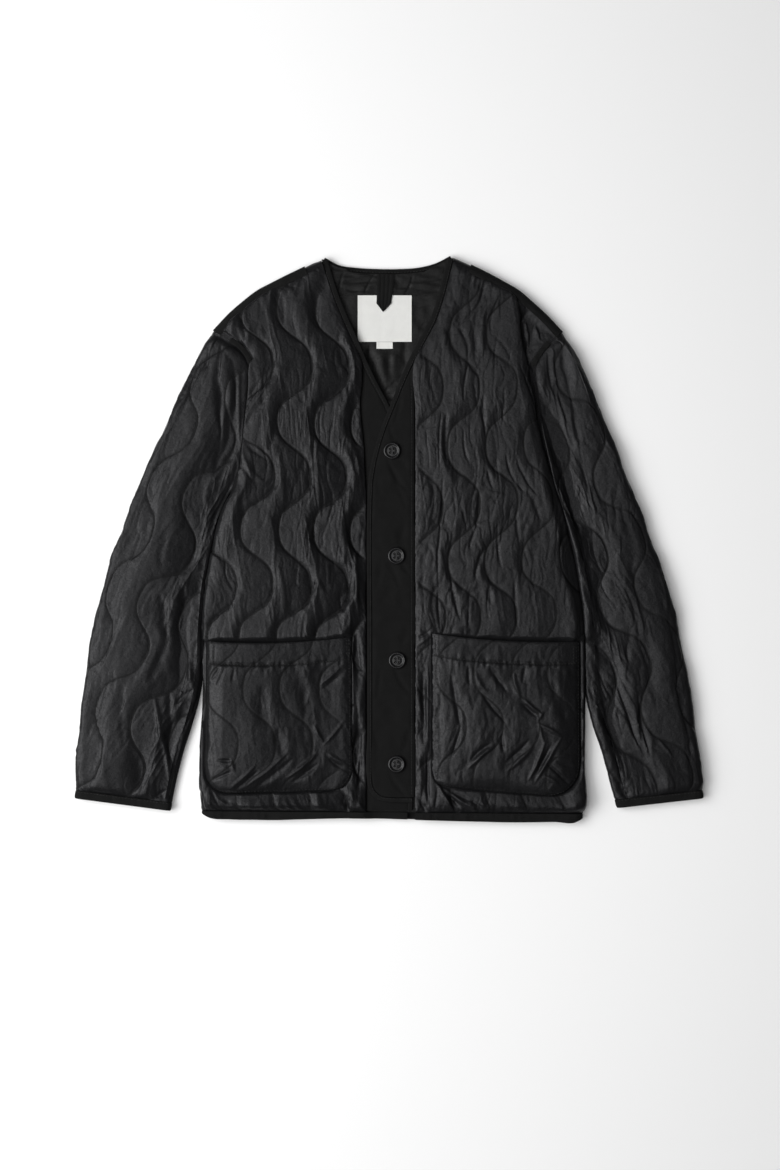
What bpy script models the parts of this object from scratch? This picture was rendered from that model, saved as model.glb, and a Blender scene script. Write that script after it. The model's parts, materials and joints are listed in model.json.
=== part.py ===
"""Quilted nylon liner jacket with a V neck and two patch pockets, lying flat on its back, front up.

+X is the wearer's left, +Y is towards the neck, +Z is up from the surface it lies on. Tables and
sizes are in millimetres, and each mesh is scaled to metres as it is made. Right and left are the
wearer's, and a side is -1 for the right and 1 for the left. Each quilted piece is lofted through
sections on its outer and inner faces. Flat trims are a face to which Solidify gives its wall.
"""

import math

import bmesh
import bpy
import numpy as np
from mathutils import Matrix

# ---------------------------------------------------------------- driving sizes, mm
MM = 0.001
WALL = 5.5              # quilted cloth: shell, wadding and lining sewn through
AIR = 3.0               # between the layer that lies below and the one above
HEIGHT = 2 * WALL + AIR
MID = HEIGHT / 2        # where the back and the fronts meet along a folded side
SEAM = 0.3              # gap left at every seam
HALF_SEAM = SEAM / 2
FOLD_STEPS = np.radians((90.0, 60.0, 30.0, 0.0))    # from the flat cloth round to a folded edge
FLAT_COLUMNS = 7        # sections' points between their inner end and the fold

PLACKET_WALL = 2.2
UNDER_PLACKET_TOP = WALL + AIR + PLACKET_WALL
OVER_PLACKET_TOP = UNDER_PLACKET_TOP + SEAM + PLACKET_WALL
EDGE_BINDING_WALL = 2.2
BACK_NECK_BINDING_TOP = 3.9
BACK_NECK_BINDING_WIDTH = 5.4
BINDING_WALL = 4.4                  # of the hem's and cuffs' bindings, sewn round the quilted cloth
TAPE_WALL = 1.1
TAPE_CLEARANCE = 0.5
SHOULDER_TAPE_WIDTH = 9.5
ARMHOLE_TAPE_WIDTH = 6.0
POCKET_WALL = 4.5
POCKET_CLEARANCE = 0.5
FACING_WALL = 1.0
LABEL_WALL = 0.5
LOOP_WALL = 0.9

# ---------------------------------------------------------------- outlines and sections, mm
# The body's two sides, a row for each section across it from the hem to the underarm.
# right_x, right_y, left_x, left_y
SIDE_SECTIONS = np.array([
    (-225.0, -326.0, 233.0, -329.5),
    (-226.5, -280.0, 233.5, -284.0),
    (-225.0, -232.0, 235.0, -236.0),
    (-223.5, -185.0, 235.0, -190.0),
    (-221.5, -122.0, 234.0, -124.0),
    (-217.0, -60.0, 229.0, -62.0),
    (-208.0, -2.0, 219.0, -4.0),
    (-196.0, 34.0, 208.0, 32.0),
    (-183.0, 62.0, 199.0, 62.0),
])
# The armhole seam, from above the underarm round its notch to near the shoulder's tip.
# right_x, right_y, left_x, left_y
ARMHOLE_SECTIONS = np.array([
    (-177.0, 105.0, 189.0, 105.0),
    (-172.5, 150.0, 180.5, 150.0),
    (-168.5, 190.0, 174.5, 184.0),
    (-168.0, 216.0, 173.0, 207.0),
    (-178.0, 230.0, 182.0, 224.0),
    (-190.0, 238.5, 191.5, 235.0),
    (-199.0, 243.2, 199.0, 240.2),
])
# The shoulder line from the neck point to the armhole's tip. right_x, right_y, left_x, left_y
SHOULDER_LINE = np.array([
    (-81.3, 334.6, 78.4, 337.4),
    (-104.0, 324.6, 101.0, 327.0),
    (-131.0, 311.5, 129.0, 313.0),
    (-160.0, 296.0, 157.0, 296.4),
    (-187.0, 274.5, 185.0, 272.0),
    (-211.0, 249.0, 208.5, 247.0),
])
# The back's bound neck edge from the right neck point to the left. x, y
NECK_LINE = np.array([
    (-77.0, 338.0),
    (-61.0, 329.5),
    (-38.0, 326.0),
    (-13.0, 324.6),
    (12.0, 324.6),
    (36.0, 326.4),
    (56.0, 331.5),
    (73.5, 340.0),
])
# Each front's bound edge, from the neck point down the V and the button stand: where it runs, and
# the binding's width and tops. right_x, right_y, left_x, left_y, width, right_top, left_top
FRONT_EDGE = np.array([
    (-73.5, 335.5, 70.5, 337.0, 7.0, 9.8, 9.8),
    (-69.0, 320.0, 65.5, 318.0, 7.2, 12.6, 12.6),
    (-62.0, 298.0, 59.0, 292.0, 7.2, 12.9, 12.9),
    (-50.5, 269.0, 49.0, 263.0, 7.2, 12.9, 12.9),
    (-37.5, 240.0, 36.5, 239.0, 7.2, 12.9, 12.9),
    (-25.5, 212.0, 22.5, 212.0, 6.6, 11.6, 13.0),
    (-13.0, 186.0, 11.5, 186.0, 6.0, 10.7, 13.2),
    (0.5, 160.0, 1.5, 160.0, 5.6, 10.7, 13.2),
    (10.0, 137.0, -8.0, 137.0, 5.6, 10.7, 13.2),
    (17.0, 116.0, -15.0, 116.0, 5.6, 10.7, 13.2),
    (22.5, 95.0, -20.4, 95.0, 5.6, 10.7, 13.2),
    (26.5, 72.0, -24.4, 72.0, 5.6, 10.7, 13.2),
    (28.5, 36.0, -26.0, 36.0, 5.6, 10.7, 13.2),
    (28.5, -95.0, -26.0, -95.0, 5.6, 10.7, 13.2),
    (28.5, -230.0, -26.0, -230.0, 5.6, 10.7, 13.2),
])
SHARED_ROWS = np.array([12, 11, 9, 7, 5, 4, 3, 2, 1])   # its rows at which a front's sections start
LOWER_ROWS_Y = np.array([-326.0, -281.0, -233.0, -186.0, -123.0, -61.0, -12.0])
RIGHT_EDGE_FOOT_Y = -325.4          # the under stand runs down to the hem's binding
# The over stand's round lower corner. radius, lowest y, the x at which its binding ends
CORNER_RADIUS = 25.0
CORNER_BOTTOM_Y = -315.5
CORNER_END_X = 24.0
CORNER_TURNS = np.radians(np.linspace(180.0, 270.0, 6))
# The seam between each front and its stand. y, right_x, left_x
STAND_SEAM = np.array([
    (-340.0, -27.8, 31.5),
    (36.0, -27.8, 31.5),
    (72.0, -28.6, 31.6),
    (116.0, -31.0, 31.8),
    (160.0, -35.0, 31.4),
    (212.0, -33.15, 30.2),
])
HEM_LINE = np.array([               # the jacket's lower edge. x, y
    (-225.0, -329.0),
    (-219.0, -333.0),
    (-205.0, -336.0),
    (-140.0, -337.2),
    (-60.0, -335.0),
    (0.0, -335.8),
    (70.0, -338.2),
    (150.0, -340.0),
    (226.0, -339.0),
    (233.0, -335.0),
])
HEM_EDGE_DROP = 0.8                 # the hem's binding is this much thinner at its edge
RIGHT_HEM_END_X = 22.0              # the right front's hem ends under the left front's stand
RIGHT_HEM_STEP_X = -20.0            # and is as thin as the stand from here

# Each sleeve from below the armhole to the cuff: the outer edge, then the inner edge's height and
# how far it stands off the body's side, then how much of the armhole's bow the section keeps.
# outer_x, outer_y, inner_y, stand_off, bow
RIGHT_SLEEVE_SECTIONS = np.array([
    (-229.0, 217.0, 46.0, 1.4, 0.80),
    (-248.0, 179.0, 28.0, 1.4, 0.60),
    (-266.0, 141.0, 8.0, 1.4, 0.42),
    (-282.5, 103.0, -14.0, 1.4, 0.27),
    (-299.0, 66.0, -38.0, 1.4, 0.15),
    (-313.5, 28.0, -64.0, 1.4, 0.07),
    (-328.0, -10.0, -93.0, 1.4, 0.02),
    (-341.0, -51.0, -124.0, 1.4, 0.0),
    (-352.5, -96.0, -157.0, 1.4, 0.0),
    (-361.5, -142.0, -190.0, 3.5, 0.0),
    (-367.0, -190.0, -224.0, 11.5, 0.0),
    (-371.5, -235.0, -257.0, 21.0, 0.0),
    (-375.0, -273.0, -289.0, 28.5, 0.0),
    (-376.5, -301.0, -316.0, 35.0, 0.0),
])
LEFT_SLEEVE_SECTIONS = np.array([
    (228.0, 212.0, 46.0, 1.4, 0.80),
    (244.5, 174.0, 28.0, 1.4, 0.60),
    (260.0, 137.0, 8.0, 1.4, 0.42),
    (275.0, 100.0, -14.0, 1.4, 0.27),
    (289.5, 63.0, -38.0, 1.4, 0.15),
    (303.5, 26.0, -64.0, 1.4, 0.07),
    (316.5, -11.0, -93.0, 1.4, 0.02),
    (331.5, -48.0, -124.0, 1.4, 0.0),
    (344.0, -95.0, -157.0, 1.4, 0.0),
    (354.5, -143.0, -190.0, 1.8, 0.0),
    (363.0, -190.0, -224.0, 10.5, 0.0),
    (369.0, -236.0, -255.0, 21.5, 0.0),
    (373.5, -271.0, -284.0, 29.5, 0.0),
    (376.5, -301.0, -312.5, 37.5, 0.0),
])
SLEEVE_SECTIONS = {-1: RIGHT_SLEEVE_SECTIONS, 1: LEFT_SLEEVE_SECTIONS}
# Each cuff binding's end: its outer end, then its inner one. x, y
CUFF_END = {-1: np.array([(-377.8, -311.0), (-262.0, -326.2)]),
            1: np.array([(377.8, -311.0), (273.5, -322.8)])}
SLEEVE_SEAM_INSET = {-1: 9.0, 1: 14.0}      # the sleeve's seam lies this far in from the inner edge

POCKETS = {
    -1: dict(top_left=(-219.0, -122.5), top_right=(-45.5, -117.5), dip=4.5,
             bottom_left=(-221.0, -305.5), bottom_right=(-44.0, -302.0), radii=(30.0, 26.0)),
    1: dict(top_left=(52.0, -113.5), top_right=(229.0, -123.0), dip=4.0,
            bottom_left=(52.5, -298.0), bottom_right=(229.5, -309.0), radii=(20.0, 38.0)),
}
POCKET_ROWS = 6
POCKET_COLUMNS = 9
NECK_END_LENGTH = 20.0      # the back neck binding rises over this length at each end
TAPE_END_TURN = math.radians(10.0)
FACING_FOOT_Y = 293.2
FACING_HALF_WIDTH = 64.0
LABEL_BOX = (-37.6, 237.0, 27.2, 292.8)     # x0, y0, x1, y1
SIZE_TAG_BOX = (-15.0, 228.6, 4.4, 236.7)
# The hanger loop's two lengths of tape, side by side, down to its folded point. y, left, middle, right
LOOP_SECTIONS = np.array([
    (318.0, -14.4, -5.0, 6.4),
    (300.0, -14.5, -5.2, 5.0),
    (282.5, -14.9, -6.2, 2.2),
    (273.5, -9.0, -7.5, -6.2),
])

BUTTON_CENTRES = ((3.6, 105.6), (8.8, -20.2), (9.8, -145.6), (9.0, -270.0))
# A button's turned profile from its middle over the rim to its foot. radius, height
BUTTON_PROFILE = (
    (0.0, 2.1),
    (6.0, 2.0),
    (7.4, 3.1),
    (9.2, 3.2),
    (10.4, 2.2),
    (10.2, 1.0),
    (8.6, 0.0),
    (0.0, 0.0),
)
BUTTON_SIDES = 20
BUTTON_HOLE_SIDES = 6
BUTTON_CUTTER_LENGTH = 12.0
MERGE = 0.00005             # metres
BUTTON_HOLE_RADIUS = 1.0
BUTTON_HOLE_SPREAD = 2.3

# The largest folds of the upper layer: from one end to the other, with a half width and a height.
# x0, y0, x1, y1, half_width, rise
FOLDS = np.array([
    (-236.0, 200.0, -330.0, -60.0, 26.0, 2.6),
    (-205.0, 190.0, -232.0, 20.0, 15.0, -2.0),
    (-262.0, -40.0, -300.0, -290.0, 20.0, 2.4),
    (-322.0, -80.0, -338.0, -290.0, 16.0, -1.8),
    (236.0, 190.0, 330.0, -80.0, 24.0, 2.4),
    (215.0, 180.0, 262.0, 10.0, 15.0, -2.0),
    (262.0, -60.0, 300.0, -290.0, 20.0, 2.4),
    (334.0, -90.0, 350.0, -290.0, 16.0, -1.8),
    (-140.0, 240.0, -136.0, -100.0, 15.0, 2.0),
    (-95.0, 280.0, -98.0, -100.0, 16.0, -1.5),
    (146.0, 240.0, 152.0, -100.0, 15.0, 2.2),
    (112.0, 275.0, 116.0, -100.0, 16.0, -1.5),
    (70.0, 250.0, 66.0, -100.0, 15.0, 1.6),
])
FOLD_FADE = 22.0        # folds die out this near to a folded edge
FOLD_ENDS = 5.0         # and over one part in this of their length at each end


# ---------------------------------------------------------------- making a piece
def clear_scene():
    """Empty the file of objects."""
    for thing in list(bpy.data.objects):
        bpy.data.objects.remove(thing, do_unlink=True)


def finish_material(name, colour, roughness):
    """A plain Principled finish."""
    material = bpy.data.materials.new(name)
    material.use_nodes = True
    shader = material.node_tree.nodes["Principled BSDF"]
    shader.inputs["Base Color"].default_value = (*colour, 1.0)
    shader.inputs["Roughness"].default_value = roughness
    shader.inputs["Metallic"].default_value = 0.0
    return material


def place(name, mesh, material, collection):
    """Put a mesh into a collection under its piece's name."""
    mesh.materials.append(material)
    piece = bpy.data.objects.new(name, mesh)
    collection.objects.link(piece)
    return piece


def faces_of(index):
    """The quads between the points of an index grid."""
    corners = [index[:-1, :-1], index[:-1, 1:], index[1:, 1:], index[1:, :-1]]
    return np.stack(corners, axis=-1).reshape(-1, 4)


def rim_of(line, step):
    """The quads from an edge of the outer face to the same edge of the inner one."""
    return np.stack([line[:-1], line[1:], line[1:] + step, line[:-1] + step], axis=-1)


def mesh_of(name, points, quads, turned):
    """A mesh in metres from points in millimetres; turned swaps which way its faces look."""
    mesh = bpy.data.meshes.new(name)
    quads = quads[:, ::-1] if turned else quads
    mesh.from_pydata((points.reshape(-1, 3) * MM).tolist(), [], quads.tolist())
    mesh.shade_smooth()
    return mesh


def padded_cloth(name, grids, material, ring=False, turned=False):
    """Quilted cloth lofted on two grids of points, its outer and its inner face (rows, columns, xyz)."""
    outer, inner = grids
    rows, columns = outer.shape[:2]
    step = rows * columns
    index = np.arange(step).reshape(rows, columns)
    if ring:
        index = np.hstack([index, index[:, :1]])
    quads = [faces_of(index), faces_of(index + step)[:, ::-1]]
    quads += [rim_of(index[0, ::-1], step), rim_of(index[-1], step)]
    if not ring:
        quads += [rim_of(index[:, 0], step), rim_of(index[::-1, -1], step)]
    return place(name, mesh_of(name, np.stack([outer, inner]), np.vstack(quads), turned), material, JACKET)


def flat_cloth(name, points, wall, material, turned=False):
    """A flat trim on a grid of points of its upper face (rows, columns, xyz), its wall below them."""
    index = np.arange(points.shape[0] * points.shape[1]).reshape(points.shape[:2])
    piece = place(name, mesh_of(name, points, faces_of(index), turned), material, JACKET)
    solid = piece.modifiers.new("wall", "SOLIDIFY")
    solid.thickness = wall * MM
    solid.offset = -1.0
    solid.use_even_offset = True
    return piece


# ---------------------------------------------------------------- measuring the laid jacket
def one_side(table, side):
    """The x and y columns of a two-sided table for one side."""
    return table[:, 0:2] if side < 0 else table[:, 2:4]


def unit(vector):
    """A vector's direction."""
    return vector / np.linalg.norm(vector)


def sideways(line, distance):
    """A line moved to the left of its own way by a distance, seen from above."""
    ahead = np.gradient(line, axis=0)
    ahead /= np.linalg.norm(ahead, axis=1, keepdims=True)
    return line + np.reshape(distance, (-1, 1)) * np.stack([-ahead[:, 1], ahead[:, 0]], axis=-1)


def fold(depth):
    """A folded edge of the face that lies this deep in the cloth: how far in from the edge each of
    its steps lies, and how far from the middle height."""
    radius = MID - depth
    return depth + radius * (1.0 - np.cos(FOLD_STEPS)), radius * np.sin(FOLD_STEPS)


def relief(x, y, clear):
    """Height that the largest folds add at a place this clear of a folded edge."""
    height = np.zeros(np.shape(x))
    for x0, y0, x1, y1, half_width, rise in FOLDS:
        run = np.array([x1 - x0, y1 - y0])
        share = ((x - x0) * run[0] + (y - y0) * run[1]) / (run @ run)
        off = np.abs((x - x0) * run[1] - (y - y0) * run[0]) / np.linalg.norm(run)
        ends = np.clip(share * FOLD_ENDS, 0.0, 1.0) * np.clip((1.0 - share) * FOLD_ENDS, 0.0, 1.0)
        height += rise * np.exp(-(off / half_width) ** 2) * ends
    return height * np.clip((clear - MID) / FOLD_FADE, 0.0, 1.0)


def armhole(side):
    """The armhole seam from above the underarm to the shoulder's tip, with its folded end."""
    seam = one_side(ARMHOLE_SECTIONS, side)
    tip = one_side(SHOULDER_LINE, side)[-1]
    return np.vstack([seam, tip + unit(seam[-1] - tip) * fold(0.0)[0][:, None]])


def side_x(side, y):
    """Where the body's side lies at a height."""
    line = one_side(SIDE_SECTIONS, side)
    return np.interp(y, line[:, 1], line[:, 0])


def stand_seam_x(side, y):
    """Where the seam between a front and its stand lies at a height."""
    return np.interp(y, STAND_SEAM[:, 0], STAND_SEAM[:, 1 if side < 0 else 2])


def edge_line(side, inward):
    """A front's edge, moved in over the cloth by a distance for each row, with its foot."""
    line = one_side(FRONT_EDGE, side)
    inward = np.broadcast_to(inward, len(line))
    slope = np.gradient(line[:, 0]) / np.gradient(line[:, 1])
    moved = np.column_stack([line[:, 0] + side * inward * np.hypot(1.0, slope), line[:, 1]])
    if side < 0:
        return np.vstack([moved, (moved[-1, 0], RIGHT_EDGE_FOOT_Y)])
    centre = np.array([line[-1, 0], CORNER_BOTTOM_Y]) + CORNER_RADIUS
    round_it = np.stack([np.cos(CORNER_TURNS), np.sin(CORNER_TURNS)], axis=-1)
    arc = centre + (CORNER_RADIUS - inward[-1]) * round_it
    return np.vstack([moved, arc, (CORNER_END_X, CORNER_BOTTOM_Y + inward[-1] - 0.5)])


def bow_of(line):
    """How far a line's points stand off the straight way between its ends, and their shares of it."""
    way = line[-1] - line[0]
    shares = (line - line[0]) @ way / (way @ way)
    return line - (line[0] + shares[:, None] * way), shares


# ---------------------------------------------------------------- the quilted pieces
SIDE_ROWS = len(SIDE_SECTIONS)
FLAT_ROWS = SIDE_ROWS + len(ARMHOLE_SECTIONS)
BOW_SHARES = np.clip((np.arange(FLAT_ROWS) - SIDE_ROWS + 2.0) / (FLAT_ROWS - SIDE_ROWS + 2.0), 0.0, 1.0)


def body_edge(side):
    """The body's outer edge up its folded side and round the armhole to near the shoulder's tip."""
    line = np.vstack([one_side(SIDE_SECTIONS, side), armhole(side)])
    return sideways(line, side * HALF_SEAM)


def front_grid(side, depth):
    """A front's face at a depth: sections from its stand or neck binding to its side or armhole."""
    outer = body_edge(side)
    bound = edge_line(side, FRONT_EDGE[:, 4] + SEAM)[SHARED_ROWS]
    low = np.stack([stand_seam_x(side, LOWER_ROWS_Y), LOWER_ROWS_Y], axis=-1)
    low[0, 1] = np.interp(low[0, 0], SIDE_SECTIONS[0, [0, 2]], SIDE_SECTIONS[0, [1, 3]])
    beside_stand = bound[:, 1] < STAND_SEAM[-1, 0] + 1.0
    bound[:, 0] = np.where(beside_stand, stand_seam_x(side, bound[:, 1]), bound[:, 0])
    inner = np.vstack([low, bound])

    insets, rises = fold(depth)
    flat = MID - depth
    steps = np.linspace(0.0, 1.0, FLAT_COLUMNS + 1)[:-1]
    line = one_side(SHOULDER_LINE, side)
    run = np.concatenate([[0.0], np.cumsum(np.linalg.norm(np.diff(line, axis=0), axis=1))])
    marks = np.concatenate([steps * (run[-1] - MID), run[-1] - fold(0.0)[0]])
    shoulder = np.stack([np.interp(marks, run, line[:, k]) for k in (0, 1)], axis=-1)
    bow = bow_of(shoulder)[0]
    grid = []
    for row in range(FLAT_ROWS):
        way = outer[row] - inner[row]
        width = np.linalg.norm(way)
        folded = row < SIDE_ROWS
        last = insets if folded else fold(0.0)[0]
        shares = np.concatenate([steps * (1.0 - MID / width), 1.0 - last / width])
        section = inner[row] + way * shares[:, None] + bow * BOW_SHARES[row]
        clear = (1.0 - shares) * width if folded else np.full(len(shares), MID + FOLD_FADE)
        top = MID + flat + relief(section[:, 0], section[:, 1], clear)
        if folded:
            top[-len(rises):] = MID + np.maximum(rises, HALF_SEAM)
        grid.append(np.column_stack([section, top]))
    blend = np.linspace(0.0, 1.0, len(shoulder))[:, None]
    end = outer[FLAT_ROWS:]
    inward = unit(inner[-1] - shoulder[0]) * (1.0 - blend) + unit(outer[FLAT_ROWS - 1] - shoulder[-1]) * blend
    for inset, rise, corner in zip(insets, rises, end):
        section = shoulder + inward * inset
        section[-1] = end[-1] + (end[0] - end[-1]) * inset / MID
        grid.append(np.column_stack([section, np.full(len(section), MID + max(rise, HALF_SEAM))]))
    return np.array(grid)


def back_grid(depth):
    """The back's face at a depth: sections from side to side, from the hem to the neck."""
    right = body_edge(-1)
    left = body_edge(1)
    insets, rises = fold(depth)
    turns = fold(0.0)[0]
    right_shoulder = one_side(SHOULDER_LINE, -1)[::-1]
    left_shoulder = one_side(SHOULDER_LINE, 1)
    right_turn = right_shoulder[0] + unit(right_shoulder[1] - right_shoulder[0]) * turns[::-1, None]
    left_turn = left_shoulder[-1] + unit(left_shoulder[-2] - left_shoulder[-1]) * turns[:, None]
    neck = sideways(NECK_LINE, -(BACK_NECK_BINDING_WIDTH + SEAM))
    top = np.vstack([right_turn, right_shoulder[1:-1], neck, left_shoulder[1:-1], left_turn])
    bow, shares = bow_of(top)
    turned = len(turns)
    at_neck = np.abs(top[:, 0]) < np.abs(neck[1:-1, 0]).max() + 1.0

    grid = []
    for row in range(FLAT_ROWS):
        way = left[row] - right[row]
        width = np.linalg.norm(way)
        folded = row < SIDE_ROWS
        spread = shares.copy()
        spread[:turned] = (insets if folded else turns)[::-1] / width
        spread[-turned:] = 1.0 - (insets if folded else turns) / width
        section = right[row] + way * spread[:, None] + bow * BOW_SHARES[row]
        low = np.full(len(top), depth)
        if folded:
            low[:turned] = MID - np.maximum(rises, HALF_SEAM)[::-1]
            low[-turned:] = MID - np.maximum(rises, HALF_SEAM)
        grid.append(np.column_stack([section, low]))
    blend = np.linspace(0.0, 1.0, len(top))[:, None]
    ends = [unit(right[FLAT_ROWS - 1] - top[0]), unit(left[FLAT_ROWS - 1] - top[-1])]
    inward = ends[0] * (1.0 - blend) + ends[1] * blend
    inward[turned:-turned] = (0.0, -1.0)
    for inset, rise in zip(insets, rises):
        section = top + inward * inset
        section[0] = right[-1] + (right[FLAT_ROWS] - right[-1]) * inset / MID
        section[-1] = left[-1] + (left[FLAT_ROWS] - left[-1]) * inset / MID
        low = np.where(at_neck, depth, MID - max(rise, HALF_SEAM))
        grid.append(np.column_stack([section, low]))
    return np.array(grid)


def sleeve_sections(side, depth):
    """A sleeve's sections at a depth, outer edge to inner edge, with each point's clear distance."""
    insets = fold(depth)[0]
    turns = fold(0.0)[0]
    turned = len(turns)
    underarm = one_side(SIDE_SECTIONS, side)[-1]
    up = unit(one_side(ARMHOLE_SECTIONS, side)[0] - underarm)
    slit = underarm + up * SLEEVE_SEAM_INSET[side]
    seam = np.vstack([armhole(side)[::-1], slit, underarm + up * turns[:, None]])
    seam = sideways(seam, side * HALF_SEAM)
    tip, foot = seam[0].copy(), seam[-1].copy()
    bow, shares = bow_of(seam)
    first, last = shares[turned - 1], shares[-turned - 1]
    inner_share = (shares[turned:-turned - 1] - first) / (last - first)
    even = np.arange(1, len(inner_share) + 1) / (len(inner_share) + 1)
    seam[:turned] = tip + (seam[turned - 1] - tip) * insets[::-1, None] / MID
    seam[-turned:] = foot + (seam[-turned] - foot) * insets[:, None] / MID
    clears = [np.minimum(np.linalg.norm(seam - tip, axis=1), np.linalg.norm(seam - foot, axis=1))]
    sections = [seam]
    rows = []
    for outer_x, outer_y, inner_y, stand_off, kept in SLEEVE_SECTIONS[side]:
        inner_x = side_x(side, inner_y) + side * stand_off
        rows.append((np.array([outer_x, outer_y]), np.array([inner_x, inner_y]), kept))
    for outer, inner, kept in rows + [(CUFF_END[side][0], CUFF_END[side][1], 0.0)]:
        width = np.linalg.norm(inner - outer)
        last = 1.0 - SLEEVE_SEAM_INSET[side] / width
        between = MID / width + (last - MID / width) * (inner_share * kept + even * (1.0 - kept))
        spread = np.concatenate([insets[::-1] / width, between, [last], 1.0 - insets / width])
        sections.append(outer + (inner - outer) * spread[:, None] + bow * kept)
        clears.append(np.minimum(spread, 1.0 - spread) * width)
    return sections, clears


def tube(section, clear, depth, folds=1.0):
    """The upper and lower points of a flattened tube's section at a depth."""
    rises = fold(depth)[1]
    rise = np.concatenate([rises[::-1], np.full(len(section) - 2 * len(rises), MID - depth), rises])
    over = MID + rise + folds * relief(section[:, 0], section[:, 1], clear)
    return np.column_stack([section, over]), np.column_stack([section, MID - rise])


def sleeve_grid(side, depth):
    """A sleeve's face at a depth, wound from its seam round the inner edge and back over the top."""
    sections, clears = sleeve_sections(side, depth)
    grid = []
    for section, clear in zip(sections[:-1], clears[:-1]):
        over, under = tube(section, clear, depth)
        slit = len(section) - len(FOLD_STEPS) - 1
        gap = np.append(unit(section[slit + 1] - section[slit]), 0.0) * HALF_SEAM
        round_over = [over[slit] + gap, over[slit + 1:], under[-2:0:-1], over[:slit], over[slit] - gap]
        grid.append(np.vstack(round_over))
    return np.array(grid)


def cuff_grid(side, depth):
    """A cuff binding's face at a depth: a band that carries on from the sleeve's last section."""
    sections, clears = sleeve_sections(side, depth)
    ahead = unit(sections[-1].mean(axis=0) - sections[-2].mean(axis=0))
    grid = []
    for section, clear in ((sections[-2] + ahead * SEAM, clears[-2]), (sections[-1], clears[-1])):
        over, under = tube(section, clear, depth, folds=0.0)
        grid.append(np.vstack([over, under[-2:0:-1]]))
    return np.array(grid)


def hem_grid(row, side_of_middle, depth):
    """A hem binding's face at a depth, from a panel's hem section to the jacket's lower edge."""
    start = row.copy()
    start[:, 1] -= SEAM
    foot = row.copy()
    foot[:, 1] = np.interp(row[:, 0], HEM_LINE[:, 0], HEM_LINE[:, 1])
    middle = (start + foot) / 2
    if depth == 0.0:
        off = np.maximum(np.abs(foot[:, 2] - MID) - HEM_EDGE_DROP, HALF_SEAM)
        foot[:, 2] = MID + side_of_middle * off
    return np.array([start, middle, foot])


def pocket_grid(side):
    """A patch pocket's outer face: rows from its round-cornered foot up to its open top."""
    pocket = POCKETS[side]
    tallest = max(pocket["radii"])
    corner_rises = tallest * (1.0 - np.sin(FOLD_STEPS))
    height = pocket["top_left"][1] - pocket["bottom_left"][1]
    rises = np.concatenate([corner_rises, np.linspace(tallest, height, POCKET_ROWS)[1:]])
    across = np.linspace(0.0, 1.0, POCKET_COLUMNS)
    grid = []
    for rise in rises:
        up = rise / height
        ends = []
        for end, radius, way in (("left", pocket["radii"][0], 1.0), ("right", pocket["radii"][1], -1.0)):
            point = np.array(pocket[f"bottom_{end}"]) * (1.0 - up) + np.array(pocket[f"top_{end}"]) * up
            share = 1.0 - min(rise / radius, 1.0)
            point[0] += way * radius * (1.0 - math.sqrt(1.0 - share ** 2))
            ends.append(point)
        row = ends[0] + (ends[1] - ends[0]) * across[:, None]
        row[:, 1] -= pocket["dip"] * 4.0 * across * (1.0 - across) * up
        top = HEIGHT + relief(row[:, 0], row[:, 1], MID + FOLD_FADE) + POCKET_CLEARANCE + POCKET_WALL
        grid.append(np.column_stack([row, top]))
    return np.array(grid)


# ---------------------------------------------------------------- stands, bindings and tapes
def edge_tops(side):
    """The height of a front's binding at each point of its edge."""
    tops = FRONT_EDGE[:, 5 if side < 0 else 6]
    return np.append(tops, np.full(len(edge_line(side, 0.0)) - len(tops), tops[-1]))


def edge_binding_grid(side):
    """The upper face of a front's binding, between its edge and the cloth that it binds."""
    lines = (edge_line(side, 0.0), edge_line(side, FRONT_EDGE[:, 4]))
    return np.stack([np.column_stack([line, edge_tops(side)]) for line in lines], axis=1)


def stand_grid(side):
    """A stand's upper face: rows up from the hem, from its binding to the quilted front."""
    bound = edge_line(side, FRONT_EDGE[:, 4] + SEAM)
    tops = edge_tops(side)
    kept = bound[:, 1] < STAND_SEAM[-1, 0] - 1.0
    if side > 0:
        kept[-1] = False
    bound, tops = bound[kept][::-1], tops[kept][::-1]
    seam = np.stack([stand_seam_x(side, bound[:, 1]) - side * SEAM, bound[:, 1]], axis=-1)
    if side > 0:
        turns = len(CORNER_TURNS)
        seam[:turns, 1] = np.linspace(bound[0, 1], bound[turns - 1, 1], turns)
    end_y = STAND_SEAM[-1, 0] - 2.0
    end = np.array([stand_seam_x(side, end_y) - side * SEAM, end_y])
    bound = np.vstack([bound, end - (side * 0.5, 0.0)])
    seam = np.vstack([seam, end])
    tops = np.append(tops, tops[-1])
    return np.stack([np.column_stack([line, tops]) for line in (bound, (bound + seam) / 2, seam)], axis=1)


def shoulder_tape_grid(front, side, depth):
    """The shoulder tape's face at a depth, round the front's shoulder fold and down on the front."""
    radius = MID + TAPE_CLEARANCE + TAPE_WALL - depth
    folded = front[FLAT_ROWS:, :-1]
    flat, edge = folded[0], folded[-1]
    outward = edge[:, :2] - flat[:, :2]
    outward /= np.linalg.norm(outward, axis=1, keepdims=True)
    centre = edge[:, :2] - outward * MID
    rows = [np.column_stack([centre + outward * radius * math.cos(turn),
                             np.full(len(centre), MID + radius * math.sin(turn))])
            for turn in np.append(TAPE_END_TURN, FOLD_STEPS[::-1][1:])]
    sewn = centre - outward * (SHOULDER_TAPE_WIDTH - MID)
    rows.append(np.column_stack([sewn, np.full(len(centre), MID + radius)]))
    return np.array(rows)[:, 1:]


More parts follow.
